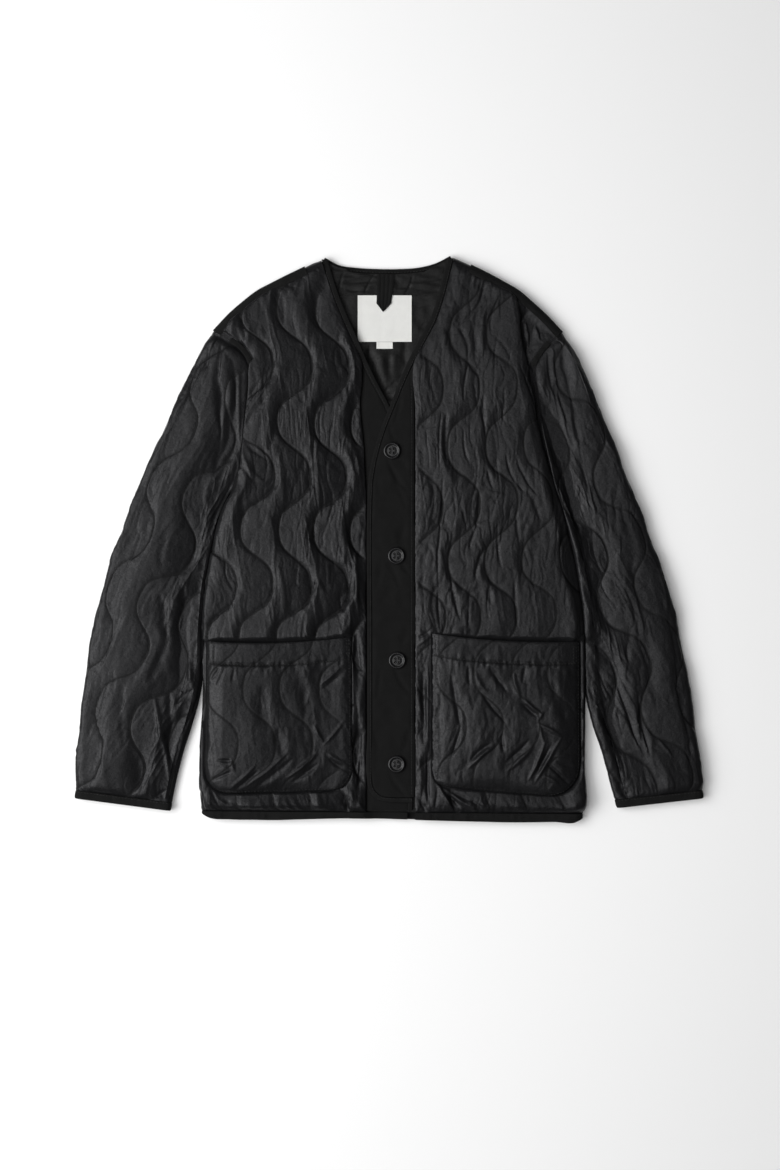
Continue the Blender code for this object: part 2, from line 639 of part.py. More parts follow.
def armhole_tape_grid(side):
    """The armhole tape's upper face, lying over the seam of front and sleeve."""
    seam = one_side(ARMHOLE_SECTIONS, side)[:-1]
    top = HEIGHT + SEAM + TAPE_WALL + relief(seam[:, 0], seam[:, 1], MID + FOLD_FADE)
    halves = (-ARMHOLE_TAPE_WIDTH / 2, 0.0, ARMHOLE_TAPE_WIDTH / 2)
    return np.stack([np.column_stack([sideways(seam, off), top]) for off in halves], axis=1)


def back_neck_binding_grid():
    """The back neck binding's upper face, rising at both ends to the shoulder's middle height."""
    from_end = np.minimum(NECK_LINE[:, 0] - NECK_LINE[0, 0], NECK_LINE[-1, 0] - NECK_LINE[:, 0])
    rise = np.clip(1.0 - from_end / NECK_END_LENGTH, 0.0, 1.0)
    tops = BACK_NECK_BINDING_TOP + (MID - HALF_SEAM - BACK_NECK_BINDING_TOP) * rise
    lines = (NECK_LINE, sideways(NECK_LINE, -BACK_NECK_BINDING_WIDTH))
    return np.stack([np.column_stack([line, tops]) for line in lines], axis=1)


def facing_grid():
    """The back neck facing's upper face, on the back's inside from its seam up to the binding."""
    upper = sideways(NECK_LINE, -(BACK_NECK_BINDING_WIDTH + 2 * SEAM))[1:-1]
    lower_x = np.linspace(-FACING_HALF_WIDTH, FACING_HALF_WIDTH, len(upper))
    lower = np.stack([lower_x, np.full(len(upper), FACING_FOOT_Y)], axis=-1)
    top = np.full(len(upper), WALL + SEAM + FACING_WALL)
    return np.array([np.column_stack([line, top]) for line in (lower, upper)])


def box_grid(box, top):
    """A small flat label's upper face."""
    x0, y0, x1, y1 = box
    return np.array([[(x0, y0, top), (x1, y0, top)], [(x0, y1, top), (x1, y1, top)]])


def loop_grid():
    """The hanger loop's upper face, lying on the facing and the label."""
    top = WALL + FACING_WALL + LOOP_WALL + 2 * SEAM
    return np.array([[(x, y, top) for x in row] for y, *row in LOOP_SECTIONS[::-1]])


def button(number, centre, material, cutter_material):
    """A four-hole button with a raised rim: a turned disc, cut by its holes."""
    mesh = bpy.data.meshes.new(f"button_{number}")
    profile = [(radius * MM, 0.0, height * MM) for radius, height in BUTTON_PROFILE]
    mesh.from_pydata(profile, [(k, k + 1) for k in range(len(profile) - 1)], [])
    disc = place(f"button_{number}", mesh, material, JACKET)
    turn = disc.modifiers.new("turn", "SCREW")
    turn.steps = BUTTON_SIDES
    turn.render_steps = BUTTON_SIDES
    turn.use_merge_vertices = True
    turn.merge_threshold = MERGE
    turn.use_smooth_shade = True
    shape = bmesh.new()
    for way_x, way_y in ((1, 1), (-1, 1), (-1, -1), (1, -1)):
        spot = Matrix.Translation((way_x * BUTTON_HOLE_SPREAD * MM, way_y * BUTTON_HOLE_SPREAD * MM, 0.0))
        radius = BUTTON_HOLE_RADIUS * MM
        bmesh.ops.create_cone(shape, cap_ends=True, segments=BUTTON_HOLE_SIDES, radius1=radius,
                              radius2=radius, depth=BUTTON_CUTTER_LENGTH * MM, matrix=spot)
    holes = bpy.data.meshes.new(f"button_{number}_holes")
    shape.to_mesh(holes)
    shape.free()
    cutter = place(f"button_{number}_holes", holes, cutter_material, CUTTERS)
    cutter.hide_render = True
    cutter.display_type = "WIRE"
    cut = disc.modifiers.new("holes", "BOOLEAN")
    cut.object = cutter
    cut.operation = "DIFFERENCE"
    for thing in (disc, cutter):
        thing.location = (centre[0] * MM, centre[1] * MM, (OVER_PLACKET_TOP + SEAM) * MM)


# ---------------------------------------------------------------- building the jacket
clear_scene()
JACKET = bpy.data.collections.new("quilted_liner_jacket")
CUTTERS = bpy.data.collections.new("cutters")
for group in (JACKET, CUTTERS):
    bpy.context.scene.collection.children.link(group)

SHELL = finish_material("shell_nylon", (0.022, 0.022, 0.025), 0.38)
STAND = finish_material("stand_cloth", (0.012, 0.012, 0.013), 0.75)
TRIM = finish_material("trim_tape", (0.015, 0.015, 0.016), 0.7)
LINING = finish_material("lining_cloth", (0.028, 0.028, 0.029), 0.6)
WHITE = finish_material("label_cloth", (0.78, 0.78, 0.77), 0.8)
PLASTIC = finish_material("button_plastic", (0.008, 0.008, 0.009), 0.2)

QUILT_FACES = (0.0, WALL)               # depths of a quilted piece's outer and inner faces
HEM_FACES = (0.0, BINDING_WALL)
backs = [back_grid(depth) for depth in QUILT_FACES]
padded_cloth("back", backs, SHELL, turned=True)
hems = [hem_grid(back_grid(depth)[0], -1.0, depth) for depth in HEM_FACES]
padded_cloth("back_hem_binding", hems, TRIM)
flat_cloth("back_neck_binding", back_neck_binding_grid(), EDGE_BINDING_WALL, TRIM)
flat_cloth("back_neck_facing", facing_grid(), FACING_WALL, LINING)
flat_cloth("label", box_grid(LABEL_BOX, WALL + SEAM + LABEL_WALL), LABEL_WALL, WHITE)
flat_cloth("size_tag", box_grid(SIZE_TAG_BOX, WALL + SEAM + LABEL_WALL), LABEL_WALL, WHITE)
flat_cloth("hanger_loop", loop_grid(), LOOP_WALL, TRIM)

for side, name in ((-1, "right"), (1, "left")):
    right = side < 0
    front = front_grid(side, 0.0)
    padded_cloth(f"{name}_front", [front, front_grid(side, WALL)], SHELL, turned=right)
    hems = []
    for depth in HEM_FACES:
        row = front_grid(side, depth)[0]
        if right:
            step_x = np.array([RIGHT_HEM_END_X, RIGHT_HEM_STEP_X])
            step_y = np.interp(step_x, SIDE_SECTIONS[0, [0, 2]], SIDE_SECTIONS[0, [1, 3]])
            step_z = np.full(2, UNDER_PLACKET_TOP - depth * PLACKET_WALL / BINDING_WALL)
            row = np.vstack([np.column_stack([step_x, step_y, step_z]), row])
        hems.append(hem_grid(row, 1.0, depth))
    padded_cloth(f"{name}_hem_binding", hems, TRIM, turned=not right)
    flat_cloth(f"{name}_stand", stand_grid(side), PLACKET_WALL, STAND, turned=right)
    flat_cloth(f"{name}_front_binding", edge_binding_grid(side), EDGE_BINDING_WALL, TRIM, turned=not right)
    tapes = [shoulder_tape_grid(front, side, depth) for depth in (0.0, TAPE_WALL)]
    padded_cloth(f"{name}_shoulder_tape", tapes, TRIM, turned=not right)
    padded_cloth(f"{name}_sleeve", [sleeve_grid(side, depth) for depth in QUILT_FACES], SHELL, turned=right)
    flat_cloth(f"{name}_armhole_tape", armhole_tape_grid(side), TAPE_WALL, TRIM, turned=True)
    cuffs = [cuff_grid(side, depth) for depth in HEM_FACES]
    padded_cloth(f"{name}_cuff_binding", cuffs, TRIM, ring=True, turned=right)
    flat_cloth(f"{name}_pocket", pocket_grid(side), POCKET_WALL, SHELL)

for number, centre in enumerate(BUTTON_CENTRES, start=1):
    button(number, centre, PLASTIC, TRIM)
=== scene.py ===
import json

import bmesh
import bpy
import numpy as np
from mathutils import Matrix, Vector
from mathutils.bvhtree import BVHTree

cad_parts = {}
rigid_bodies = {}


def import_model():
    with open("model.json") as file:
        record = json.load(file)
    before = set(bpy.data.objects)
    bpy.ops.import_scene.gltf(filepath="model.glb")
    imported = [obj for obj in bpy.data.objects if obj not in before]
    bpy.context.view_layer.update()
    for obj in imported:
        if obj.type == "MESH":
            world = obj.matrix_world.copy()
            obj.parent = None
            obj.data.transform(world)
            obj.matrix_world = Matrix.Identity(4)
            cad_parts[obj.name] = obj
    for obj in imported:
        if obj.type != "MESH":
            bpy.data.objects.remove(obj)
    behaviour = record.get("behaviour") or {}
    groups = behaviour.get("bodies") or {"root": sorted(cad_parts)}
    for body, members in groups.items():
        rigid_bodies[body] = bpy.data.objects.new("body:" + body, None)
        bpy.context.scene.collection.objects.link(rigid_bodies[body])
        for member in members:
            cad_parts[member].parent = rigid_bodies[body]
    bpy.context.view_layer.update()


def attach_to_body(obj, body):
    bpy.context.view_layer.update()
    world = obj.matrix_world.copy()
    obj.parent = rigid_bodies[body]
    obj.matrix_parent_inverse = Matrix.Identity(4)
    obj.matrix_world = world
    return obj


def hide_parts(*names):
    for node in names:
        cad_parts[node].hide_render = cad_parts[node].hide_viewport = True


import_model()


# ---------------------------------------------------------------- the back
# One panel of black nylon over thin wadding and a plain lining, sewn through in parallel waves. It
# lies on the surface under everything else; its lining shows inside the neck. Tables here and below
# are in millimetres, +X to the wearer's left and +Y to the neck, and each mesh is made in metres.
MM = 0.001
CELLS = 97                          # the chance heights repeat after this many cells each way
SOFTNESS = 1.3                      # of the quilting waves' turns
DEEPEST = 4.0                       # no trough goes deeper into the wadding
BACK_GRID = (169, 121)
WALL = 5.5                          # shell, wadding and lining
MID = 7.0                           # height of the side folds, halfway up both layers
SEAM = 0.3
TURN = np.radians((90.0, 60.0, 30.0, 0.0))

# The two side folds from hem to underarm. right_x, right_y, left_x, left_y
SIDES = np.array([
    (-225, -326, 233, -329.5),
    (-226.5, -280, 233.5, -284),
    (-225, -232, 235, -236),
    (-223.5, -185, 235, -190),
    (-221.5, -122, 234, -124),
    (-217, -60, 229, -62),
    (-208, -2, 219, -4),
    (-196, 34, 208, 32),
    (-183, 62, 199, 62),
])
# The armhole seams from the underarm up to the shoulder. right_x, right_y, left_x, left_y
ARMHOLES = np.array([
    (-177, 105, 189, 105),
    (-172.5, 150, 180.5, 150),
    (-168.5, 190, 174.5, 184),
    (-168, 216, 173, 207),
    (-178, 230, 182, 224),
    (-190, 238.5, 191.5, 235),
    (-199, 243.2, 199, 240.2),
])
# The shoulder seams from the neck to the armhole's tip. right_x, right_y, left_x, left_y
SHOULDERS = np.array([
    (-81.3, 334.6, 78.4, 337.4),
    (-104, 324.6, 101, 327),
    (-131, 311.5, 129, 313),
    (-160, 296, 157, 296.4),
    (-187, 274.5, 185, 272),
    (-211, 249, 208.5, 247),
])
# The back's neck edge, right to left. x, y
NECK = np.array([
    (-77, 338),
    (-61, 329.5),
    (-38, 326),
    (-13, 324.6),
    (12, 324.6),
    (36, 326.4),
    (56, 331.5),
    (73.5, 340),
])
NECK_TAPE = 5.4                     # width of its binding
BACK_QUILT = dict(centre=0.0, pitch=43.0, swing=18.5, period=134.0, turn=20.0, puff=2.4)


def side_of(table, side):
    """The x and y columns for the wearer's right (-1) or left (1)."""
    return table[:, 0:2] if side < 0 else table[:, 2:4]


def unit(values):
    """Values kept between 0 and 1."""
    return np.clip(values, 0.0, 1.0)


def bell(distance, width):
    """1 at no distance, falling as exp(-(distance / width)^2)."""
    return np.exp(-(distance / width) ** 2)


def toward(vector):
    """A direction: the vector over its length."""
    return vector / np.linalg.norm(vector)


def offset(line, distance):
    """A line moved left of its own way: each point plus its unit normal times the distance."""
    ahead = np.gradient(line, axis=0)
    ahead /= np.linalg.norm(ahead, axis=1, keepdims=True)
    return line + np.reshape(distance, (-1, 1)) * np.stack([-ahead[:, 1], ahead[:, 0]], axis=-1)


def folded_edge(depth):
    """A quarter turn at a folded edge: how far in each step lies, and how far from mid height."""
    radius = MID - depth
    return depth + radius * (1.0 - np.cos(TURN)), radius * np.sin(TURN)


def bow_of(line):
    """How far points stand off the straight way between a line's ends, and their shares of it."""
    way = line[-1] - line[0]
    shares = (line - line[0]) @ way / (way @ way)
    return line - (line[0] + shares[:, None] * way), shares


def smooth(marks, values, at):
    """Cubic Hermite pieces through a table's rows; the slopes are its central differences."""
    slopes = np.gradient(values, marks, axis=0)
    k = np.clip(np.searchsorted(marks, at, side="right") - 1, 0, len(marks) - 2)
    shape = (-1,) + (1,) * (values.ndim - 1)
    span = (marks[k + 1] - marks[k]).reshape(shape)
    t = (at - marks[k]).reshape(shape) / span
    ease = t * t * (3.0 - 2.0 * t)
    return (values[k] * (1.0 - ease) + values[k + 1] * ease
            + span * t * (1.0 - t) * ((1.0 - t) * slopes[k] - t * slopes[k + 1]))


def spread(line_of_rows, count, ring=False, shares=None):
    """Rows of points made many: smooth curves through them, evenly spaced by their mean distances,
    or at the given shares of the way. A ring's rows go round, so the curves carry on past both ends,
    and its first row isn't repeated."""
    if ring:
        line_of_rows = np.concatenate([line_of_rows[-2:], line_of_rows, line_of_rows[:3]])
    gaps = np.linalg.norm(np.diff(line_of_rows, axis=0), axis=-1)
    marks = np.concatenate([[0.0], np.cumsum(gaps.reshape(len(gaps), -1).mean(axis=1))])
    if ring:
        return smooth(marks, line_of_rows, np.linspace(marks[2], marks[-3], count + 1)[:-1])
    if shares is None:
        shares = np.linspace(0.0, 1.0, count)
    return smooth(marks, line_of_rows, marks[-1] * shares)


def fine(grid, rows, columns, ring=False, shares=None):
    """A coarse grid of points made fine, down its columns and then along its rows."""
    return spread(spread(grid, rows).swapaxes(0, 1), columns, ring, shares).swapaxes(0, 1)


def wander(x, y, wide, tall, seed):
    """Smooth chance height from -1 to 1: seeded values on cells wide by tall, eased in between."""
    dice = np.random.default_rng(seed).uniform(-1.0, 1.0, (CELLS, CELLS))
    a, b = x / wide, y / tall
    i, j = np.floor(a).astype(int), np.floor(b).astype(int)
    s, t = a - i, b - j
    s, t = s * s * (3.0 - 2.0 * s), t * t * (3.0 - 2.0 * t)
    i, j, k, m = i % CELLS, j % CELLS, (i + 1) % CELLS, (j + 1) % CELLS
    low = dice[i, j] * (1 - s) + dice[k, j] * s
    high = dice[i, m] * (1 - s) + dice[k, m] * s
    return low * (1 - t) + high * t


def ridges(x, y, wide, tall, seed):
    """Height of fine wrinkles from 0 to 1: sharp crests where wandering noise crosses nothing."""
    return (1.0 - np.minimum(np.abs(wander(x, y, wide, tall, seed)) * 2.2, 1.0)) ** 1.5


def rumpled(x, y, seed):
    """Height of crumpled cloth, nothing or less: sharp troughs in three sizes between smooth plates,
    longer along y, on a grid that chance bends sideways, and in patches of more and less."""
    bent = (x + 3.0 * wander(x, y, 11.0, 17.0, seed) + 5.0 * wander(x, y, 26.0, 38.0, seed + 1)
            + 9.0 * wander(x, y, 60.0, 90.0, seed + 2))
    patches = 0.9 + 0.5 * wander(x, y, 44.0, 36.0, seed + 6)
    return -patches * (ridges(bent, y, 12.0, 44.0, seed + 3)
                       + 0.8 * ridges(bent, y, 7.0, 24.0, seed + 4)
                       + 0.4 * ridges(bent, y, 4.2, 12.0, seed + 5))


def quilting(across, along, centre, pitch, swing, period, turn, puff,
             lean=0.8, tilt=0.0, crisp=1.0, seed=1):
    """Height of wave quilting, and how near each point is to its stitching (1 on the thread).

    The lines are centre + k * pitch + swing * wave, the wave a softened cosine that is furthest to
    the low side at turn. Between two lines the cloth is a tent on a crest, which lean pulls toward
    a straight line and tilt to one side, so the tent is steep where a line bulges toward it; both
    its crest and its height wander. Narrow folds run along the crests, and short puckers cross the
    thread, both crisp times as high as they are on the slackest cloth."""
    phase = 2.0 * np.pi * (along - turn) / period + 0.25 * wander(across, along, 130.0, 170.0, seed)
    wave = -np.tanh(SOFTNESS * np.cos(phase)) / np.tanh(SOFTNESS)
    steep = (swing * SOFTNESS / np.tanh(SOFTNESS) * np.sin(phase)
             / np.cosh(SOFTNESS * np.cos(phase)) ** 2 * 2.0 * np.pi / period)
    drift = 2.5 * wander(across, along, 70.0, 90.0, seed + 1)
    line = (across + drift - centre - swing * wave) / pitch
    part = line - np.floor(line)
    crest = (0.5 + tilt - lean * swing * wave / pitch
             + 0.07 * wander(across, along, 38.0, 30.0, seed + 2))
    crest = np.clip(crest, 0.21, 0.82)
    up, down = part / crest, (1.0 - part) / (1.0 - crest)
    tent = -np.log(np.exp(-8.0 * up) + np.exp(-8.0 * down)) / 8.0 + 0.087
    near = np.minimum(part, 1.0 - part) * pitch / np.hypot(1.0, steep)
    thread = bell(near, 1.0)
    uneven = 1.0 + 0.35 * wander(across, along, 34.0, 42.0, seed + 3)
    from_crest = (part - crest) * pitch
    folds = (ridges(across + 0.15 * along, along, 6.5, 44.0, seed + 5)
             * bell(from_crest, 9.0))
    folds += (0.7 * ridges(across - 0.1 * along, along, 4.2, 26.0, seed + 6)
              * bell(from_crest + 5.0, 8.0))
    gather = (wander(along, line * pitch, 4.2, 60.0, seed + 4) * np.exp(-near / 3.4)
              * unit(near / 1.5))
    free = unit(near / 4.0)
    height = puff * uneven * (tent - 0.45) - (0.45 + 0.12 * min(puff, 5.0)) * thread
    return height + crisp * (0.5 * gather + folds * free), thread


def creased(x, y, folds):
    """Height of listed creases: each is a trough, or a ridge where its depth is negative, of depth *
    exp(-(off / half_width)^2) along a line bowed by bow at its middle, tapered to its ends and wavering
    a little on its way."""
    x, y = x + 0.9 * wander(x, y, 17.0, 21.0, 5), y + 0.9 * wander(x, y, 21.0, 17.0, 6)
    height = np.zeros(np.shape(x))
    for x0, y0, x1, y1, bow, half_width, depth in folds:
        run_x, run_y = x1 - x0, y1 - y0
        length = np.hypot(run_x, run_y)
        t = ((x - x0) * run_x + (y - y0) * run_y) / length ** 2
        arch = unit(4.0 * t * (1.0 - t))
        off = ((x - x0) * run_y - (y - y0) * run_x) / length - bow * arch
        height -= depth * arch ** 0.8 * bell(off, half_width * (0.35 + 0.75 * arch))
    return height


def rims(fine_line, coarse_line, every):
    """Wide faces from a fine edge to a coarse one, one for each step of the coarse edge."""
    fine_line, coarse_line = fine_line.tolist(), coarse_line.tolist()
    return [[*fine_line[k * every:(k + 1) * every + 1], coarse_line[k + 1], coarse_line[k]]
            for k in range(len(coarse_line) - 1)]


def numbered(rows, columns, first=0, ring=False):
    """A grid's points numbered in order; one that goes round has its first column at its end too."""
    index = first + np.arange(rows * columns).reshape(rows, columns)
    return np.hstack([index, index[:, :1]]) if ring else index


def squares(index):
    """The four-cornered faces between the points of an index grid."""
    corners = [index[:-1, :-1], index[:-1, 1:], index[1:, 1:], index[1:, :-1]]
    return np.stack(corners, axis=-1).reshape(-1, 4).tolist()


def made_up(name, points, faces, finish, sharp_over=50.0):
    """A piece from its points in millimetres and its faces, in its finish: turned the right way out,
    if its signed volume is below nothing, and smooth but for edges over so many degrees."""
    mesh = bpy.data.meshes.new(name)
    mesh.from_pydata((points * MM).tolist(), [], faces)
    form = bmesh.new()
    form.from_mesh(mesh)
    if form.calc_volume(signed=True) < 0.0:
        bmesh.ops.reverse_faces(form, faces=form.faces)
        form.to_mesh(mesh)
    form.free()
    mesh.shade_smooth()
    mesh.set_sharp_from_angle(angle=np.radians(sharp_over))
    mesh.materials.append(finish)
    piece = bpy.data.objects.new(name, mesh)
    bpy.context.scene.collection.objects.link(piece)
    return piece


def cloth_piece(name, face, lining, finish, every=1, ring=False, thread=None):
    """Closed cloth from its shown face and its other one, the latter on every few points only. The
    thread values go to the shown face's points as the attribute that the finish reads."""
    shown = face.shape[0] * face.shape[1]
    outer = numbered(*face.shape[:2], ring=ring)
    inner = numbered(*lining.shape[:2], first=shown, ring=ring)
    faces = squares(outer) + squares(inner[:, ::-1])
    faces += rims(outer[0, ::-1], inner[0, ::-1], every) + rims(outer[-1], inner[-1], every)
    if not ring:
        faces += rims(outer[:, 0], inner[:, 0], every) + rims(outer[::-1, -1], inner[::-1, -1], every)
    points = np.vstack([face.reshape(-1, 3), lining.reshape(-1, 3)])
    piece = made_up(name, points, faces, finish, sharp_over=62.0)
    sewn = np.zeros(len(points), dtype=np.float32)
    if thread is not None:
        sewn[:shown] = thread.ravel()
    piece.data.attributes.new("thread", "FLOAT", "POINT").data.foreach_set("value", sewn)
    return piece


def feed(tree, socket, value):
    """Joins a socket to another one, or sets it to a value."""
    if isinstance(value, bpy.types.NodeSocket):
        tree.links.new(value, socket)
    else:
        socket.default_value = value


def node(tree, kind, place, **inputs):
    """A shader node at a place, its sockets fed by name."""
    made = tree.nodes.new(f"ShaderNode{kind}")
    made.location = (place[0] * 190, place[1] * 170)
    for key, value in inputs.items():
        feed(tree, made.inputs[key.replace("_", " ")], value)
    return made


def figured(tree, operation, place, *values):
    """What a Math node makes of up to three values or sockets."""
    made = node(tree, "Math", place)
    made.operation = operation
    for socket, value in zip(made.inputs, values):
        feed(tree, socket, value)
    return made.outputs["Value"]


def ranged(tree, place, value, start, end):
    """A value carried from one range, low and high, to another."""
    made = node(tree, "MapRange", place, Value=value, From_Min=start[0], From_Max=start[1],
                To_Min=end[0], To_Max=end[1])
    return made.outputs["Result"]


def mixed(tree, place, factor, low, high):
    """The colour between two, by a factor."""
    made = node(tree, "Mix", place)
    made.data_type = "RGBA"
    for key, value in (("Factor", factor), ("A", low), ("B", high)):
        feed(tree, made.inputs[key], value)
    return made.outputs["Result"]


def new_group(name, given, results):
    """A node group with these number sockets, and the sockets at its start and its end."""
    tree = bpy.data.node_groups.new(name, "ShaderNodeTree")
    for way, keys in (("INPUT", given), ("OUTPUT", results)):
        for key in keys:
            tree.interface.new_socket(key, in_out=way, socket_type="NodeSocketFloat")
    return tree, tree.nodes.new("NodeGroupInput").outputs, tree.nodes.new("NodeGroupOutput").inputs


def placed(tree, group, **inputs):
    """A group's results, placed in a material with its own values."""
    effect = node(tree, "Group", (-4, 0))
    effect.node_tree = group
    for key, value in inputs.items():
        feed(tree, effect.inputs[key], value)
    return effect.outputs


def new_finish(name):
    """A new material, its nodes, and its shader's sockets."""
    material = bpy.data.materials.new(name)
    material.use_nodes = True
    return material, material.node_tree, material.node_tree.nodes["Principled BSDF"].inputs


def crinkle_group():
    """The fine crinkle of nylon as a height: two sizes of noise in the cloth's own place."""
    tree, given, result = new_group("nylon_crinkle", ("Fineness",), ("Height", "Patches", "Specks"))
    place = node(tree, "TexCoord", (0, 0)).outputs["Object"]
    small = node(tree, "TexNoise", (1, 1), Vector=place, Scale=given["Fineness"], Detail=3.0,
                 Roughness=0.6).outputs["Fac"]
    wide = node(tree, "TexNoise", (1, 0), Vector=place, Scale=130.0, Detail=3.0).outputs["Fac"]
    patches = node(tree, "TexNoise", (1, -1), Vector=place, Scale=45.0, Detail=4.0).outputs["Fac"]
    feed(tree, result["Height"], figured(tree, "MULTIPLY_ADD", (2, 0), small, 0.55, wide))
    feed(tree, result["Patches"], patches)
    feed(tree, result["Specks"], small)
    return tree


CRINKLE = crinkle_group()
# painted shade: the colour the cloth takes along its quilting thread, standing in for the shade in the
# stitched grooves
THREAD_GROOVE_SHADE_COLOUR = (0.004, 0.004, 0.004, 1.0)


def cloth_finish(name, colour, shine, gloss, fineness=480.0, bump=0.3):
    """A cloth's finish: its colour a little uneven, gloss in patches and a coat that gleams in specks,
    on a fine crinkle; along the thread of its quilting it is matte, and its colour is darkened as
    painted shade of the stitched grooves."""
    material, tree, shader = new_finish(name)
    crinkle = placed(tree, CRINKLE, Fineness=fineness)
    attribute = node(tree, "Attribute", (-3, 2))
    attribute.attribute_name = "thread"
    sewn = attribute.outputs["Fac"]
    low, high = [(*[share * part for part in colour], 1.0) for share in (0.82, 1.18)]
    tone = mixed(tree, (-2, 2), crinkle["Patches"], low, high)
    # painted shade: the base colour darkens along the quilting thread, for the shade in its grooves
    feed(tree, shader["Base Color"], mixed(tree, (-1, 2), sewn, tone, THREAD_GROOVE_SHADE_COLOUR))
    rough = ranged(tree, (-1, 0), crinkle["Patches"], (0.3, 0.7), (gloss + 0.05, gloss - 0.05))
    feed(tree, shader["Roughness"], figured(tree, "MULTIPLY_ADD", (0, 0), sewn, 0.5, rough))
    raised = node(tree, "Bump", (-1, -2), Strength=bump, Distance=0.001, Height=crinkle["Height"])
    feed(tree, shader["Normal"], raised.outputs["Normal"])
    gleam = ranged(tree, (-1, -1), crinkle["Specks"], (0.35, 0.65), (0.0, shine))
    dulled = figured(tree, "MULTIPLY_ADD", (-2, -1), sewn, -1.0, 1.0)
    feed(tree, shader["Coat Weight"], figured(tree, "MULTIPLY", (0, -1), gleam, dulled))
    shader["Coat Roughness"].default_value = gloss
    shader["Specular IOR Level"].default_value = 0.75 * shine
    return material


NYLON = cloth_finish("black_nylon", (0.007, 0.007, 0.0075), shine=0.15, gloss=0.35, bump=0.6)
tint = NYLON.node_tree.nodes["Principled BSDF"].inputs["Specular Tint"]
tint.default_value = (0.965, 0.965, 1.0, 1.0)
LINING = cloth_finish("black_lining", (0.006, 0.006, 0.006), shine=0.12, gloss=0.45, bump=0.4)


def attach(piece, node_name):
    """Puts a piece in its solid's place."""
    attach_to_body(piece, "root")
    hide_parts(node_name)
    return piece


def body_edge(side):
    """The body's edge: up the folded side, round the armhole, and over the shoulder's tip."""
    seam = side_of(ARMHOLES, side)
    tip = side_of(SHOULDERS, side)[-1]
    over = tip + toward(seam[-1] - tip) * folded_edge(0.0)[0][:, None]
    return offset(np.vstack([side_of(SIDES, side), seam, over]), side * SEAM / 2)


SIDE_ROWS = len(SIDES)
FLAT_ROWS = SIDE_ROWS + len(ARMHOLES)
BOWING = unit((np.arange(FLAT_ROWS) - SIDE_ROWS + 2.0) / (FLAT_ROWS - SIDE_ROWS + 2.0))


def back_face(depth):
    """The back's face at a depth, coarse: rows from side to side up from the hem, bowed more and
    more to the shoulders' line, folded up at the sides and shoulders, flat at the neck."""
    right, left = body_edge(-1), body_edge(1)
    insets, rises = folded_edge(depth)
    turns = folded_edge(0.0)[0]
    right_line, left_line = side_of(SHOULDERS, -1)[::-1], side_of(SHOULDERS, 1)
    right_turn = right_line[0] + toward(right_line[1] - right_line[0]) * turns[::-1, None]
    left_turn = left_line[-1] + toward(left_line[-2] - left_line[-1]) * turns[:, None]
    neck = offset(NECK, -(NECK_TAPE + SEAM))
    top = np.vstack([right_turn, right_line[1:-1], neck, left_line[1:-1], left_turn])
    bow, shares = bow_of(top)
    count = len(turns)
    at_neck = np.abs(top[:, 0]) < np.abs(neck[1:-1, 0]).max() + 1.0
    grid = []
    for row in range(FLAT_ROWS):
        way = left[row] - right[row]
        width = np.linalg.norm(way)
        folded = row < SIDE_ROWS
        at = shares.copy()
        at[:count] = (insets if folded else turns)[::-1] / width
        at[-count:] = 1.0 - (insets if folded else turns) / width
        low = np.full(len(top), depth)
        if folded:
            low[:count], low[-count:] = MID - rises[::-1], MID - rises
        grid.append(np.column_stack([right[row] + way * at[:, None] + bow * BOWING[row], low]))
    blend = np.linspace(0.0, 1.0, len(top))[:, None]
    inward = (toward(right[FLAT_ROWS - 1] - top[0]) * (1.0 - blend)
              + toward(left[FLAT_ROWS - 1] - top[-1]) * blend)
    inward[count:-count] = (0.0, -1.0)
    for inset, rise in zip(insets, rises):
        section = top + inward * inset
        section[0] = right[-1] + (right[FLAT_ROWS] - right[-1]) * inset / MID
        section[-1] = left[-1] + (left[FLAT_ROWS] - left[-1]) * inset / MID
        grid.append(np.column_stack([section, np.where(at_neck, depth, MID - rise)]))
    return np.array(grid)


def from_sides(grid):
    """How far each point of a grid lies in from its four sides, measured along its lines."""
    rows = np.linalg.norm(np.diff(grid, axis=0), axis=-1)
    columns = np.linalg.norm(np.diff(grid, axis=1), axis=-1)
    up = np.vstack([np.zeros((1, grid.shape[1])), np.cumsum(rows, axis=0)])
    over = np.hstack([np.zeros((grid.shape[0], 1)), np.cumsum(columns, axis=1)])
    return dict(foot=up, head=up[-1:] - up, start=over, end=over[:, -1:] - over)


def eased(distance, reach):
    """A rise from 0 at no distance to 1 at reach, steepest at its start."""
    t = unit(distance / reach)
    return t * (2.0 - t)


def kept_low(height, limit):
    """Heights eased off toward a limit, and troughs no deeper than the deepest."""
    return np.where(height > 0.0, limit * np.tanh(height / limit), np.maximum(height, -DEEPEST))


def raised_by(height, face, lining):
    """A face moved straight out from its lining by a height at each point."""
    way = face - lining
    return face + way / np.linalg.norm(way, axis=-1, keepdims=True) * height[..., None]


def at_edges(grid, reach):
    """How free the cloth is to puff: 0 at all sides of a grid, rising to 1 at reach in from them."""
    return eased(np.min(list(from_sides(grid).values()), axis=0), reach)


under = fine(back_face(0.0), *BACK_GRID)
inside = fine(back_face(WALL), *BACK_GRID)
height = quilting(under[..., 0], under[..., 1], **BACK_QUILT)[0]
height_inside, thread_inside = quilting(inside[..., 0], inside[..., 1], **{**BACK_QUILT, "puff": 1.4})
lifted = np.clip(1.1 - height, 0.0, DEEPEST) * unit((MID - under[..., 2]) / 3.0)
under[..., 2] += lifted * at_edges(under, 9.0) * 0.6
under[..., 2] = np.maximum(under[..., 2], 0.0)
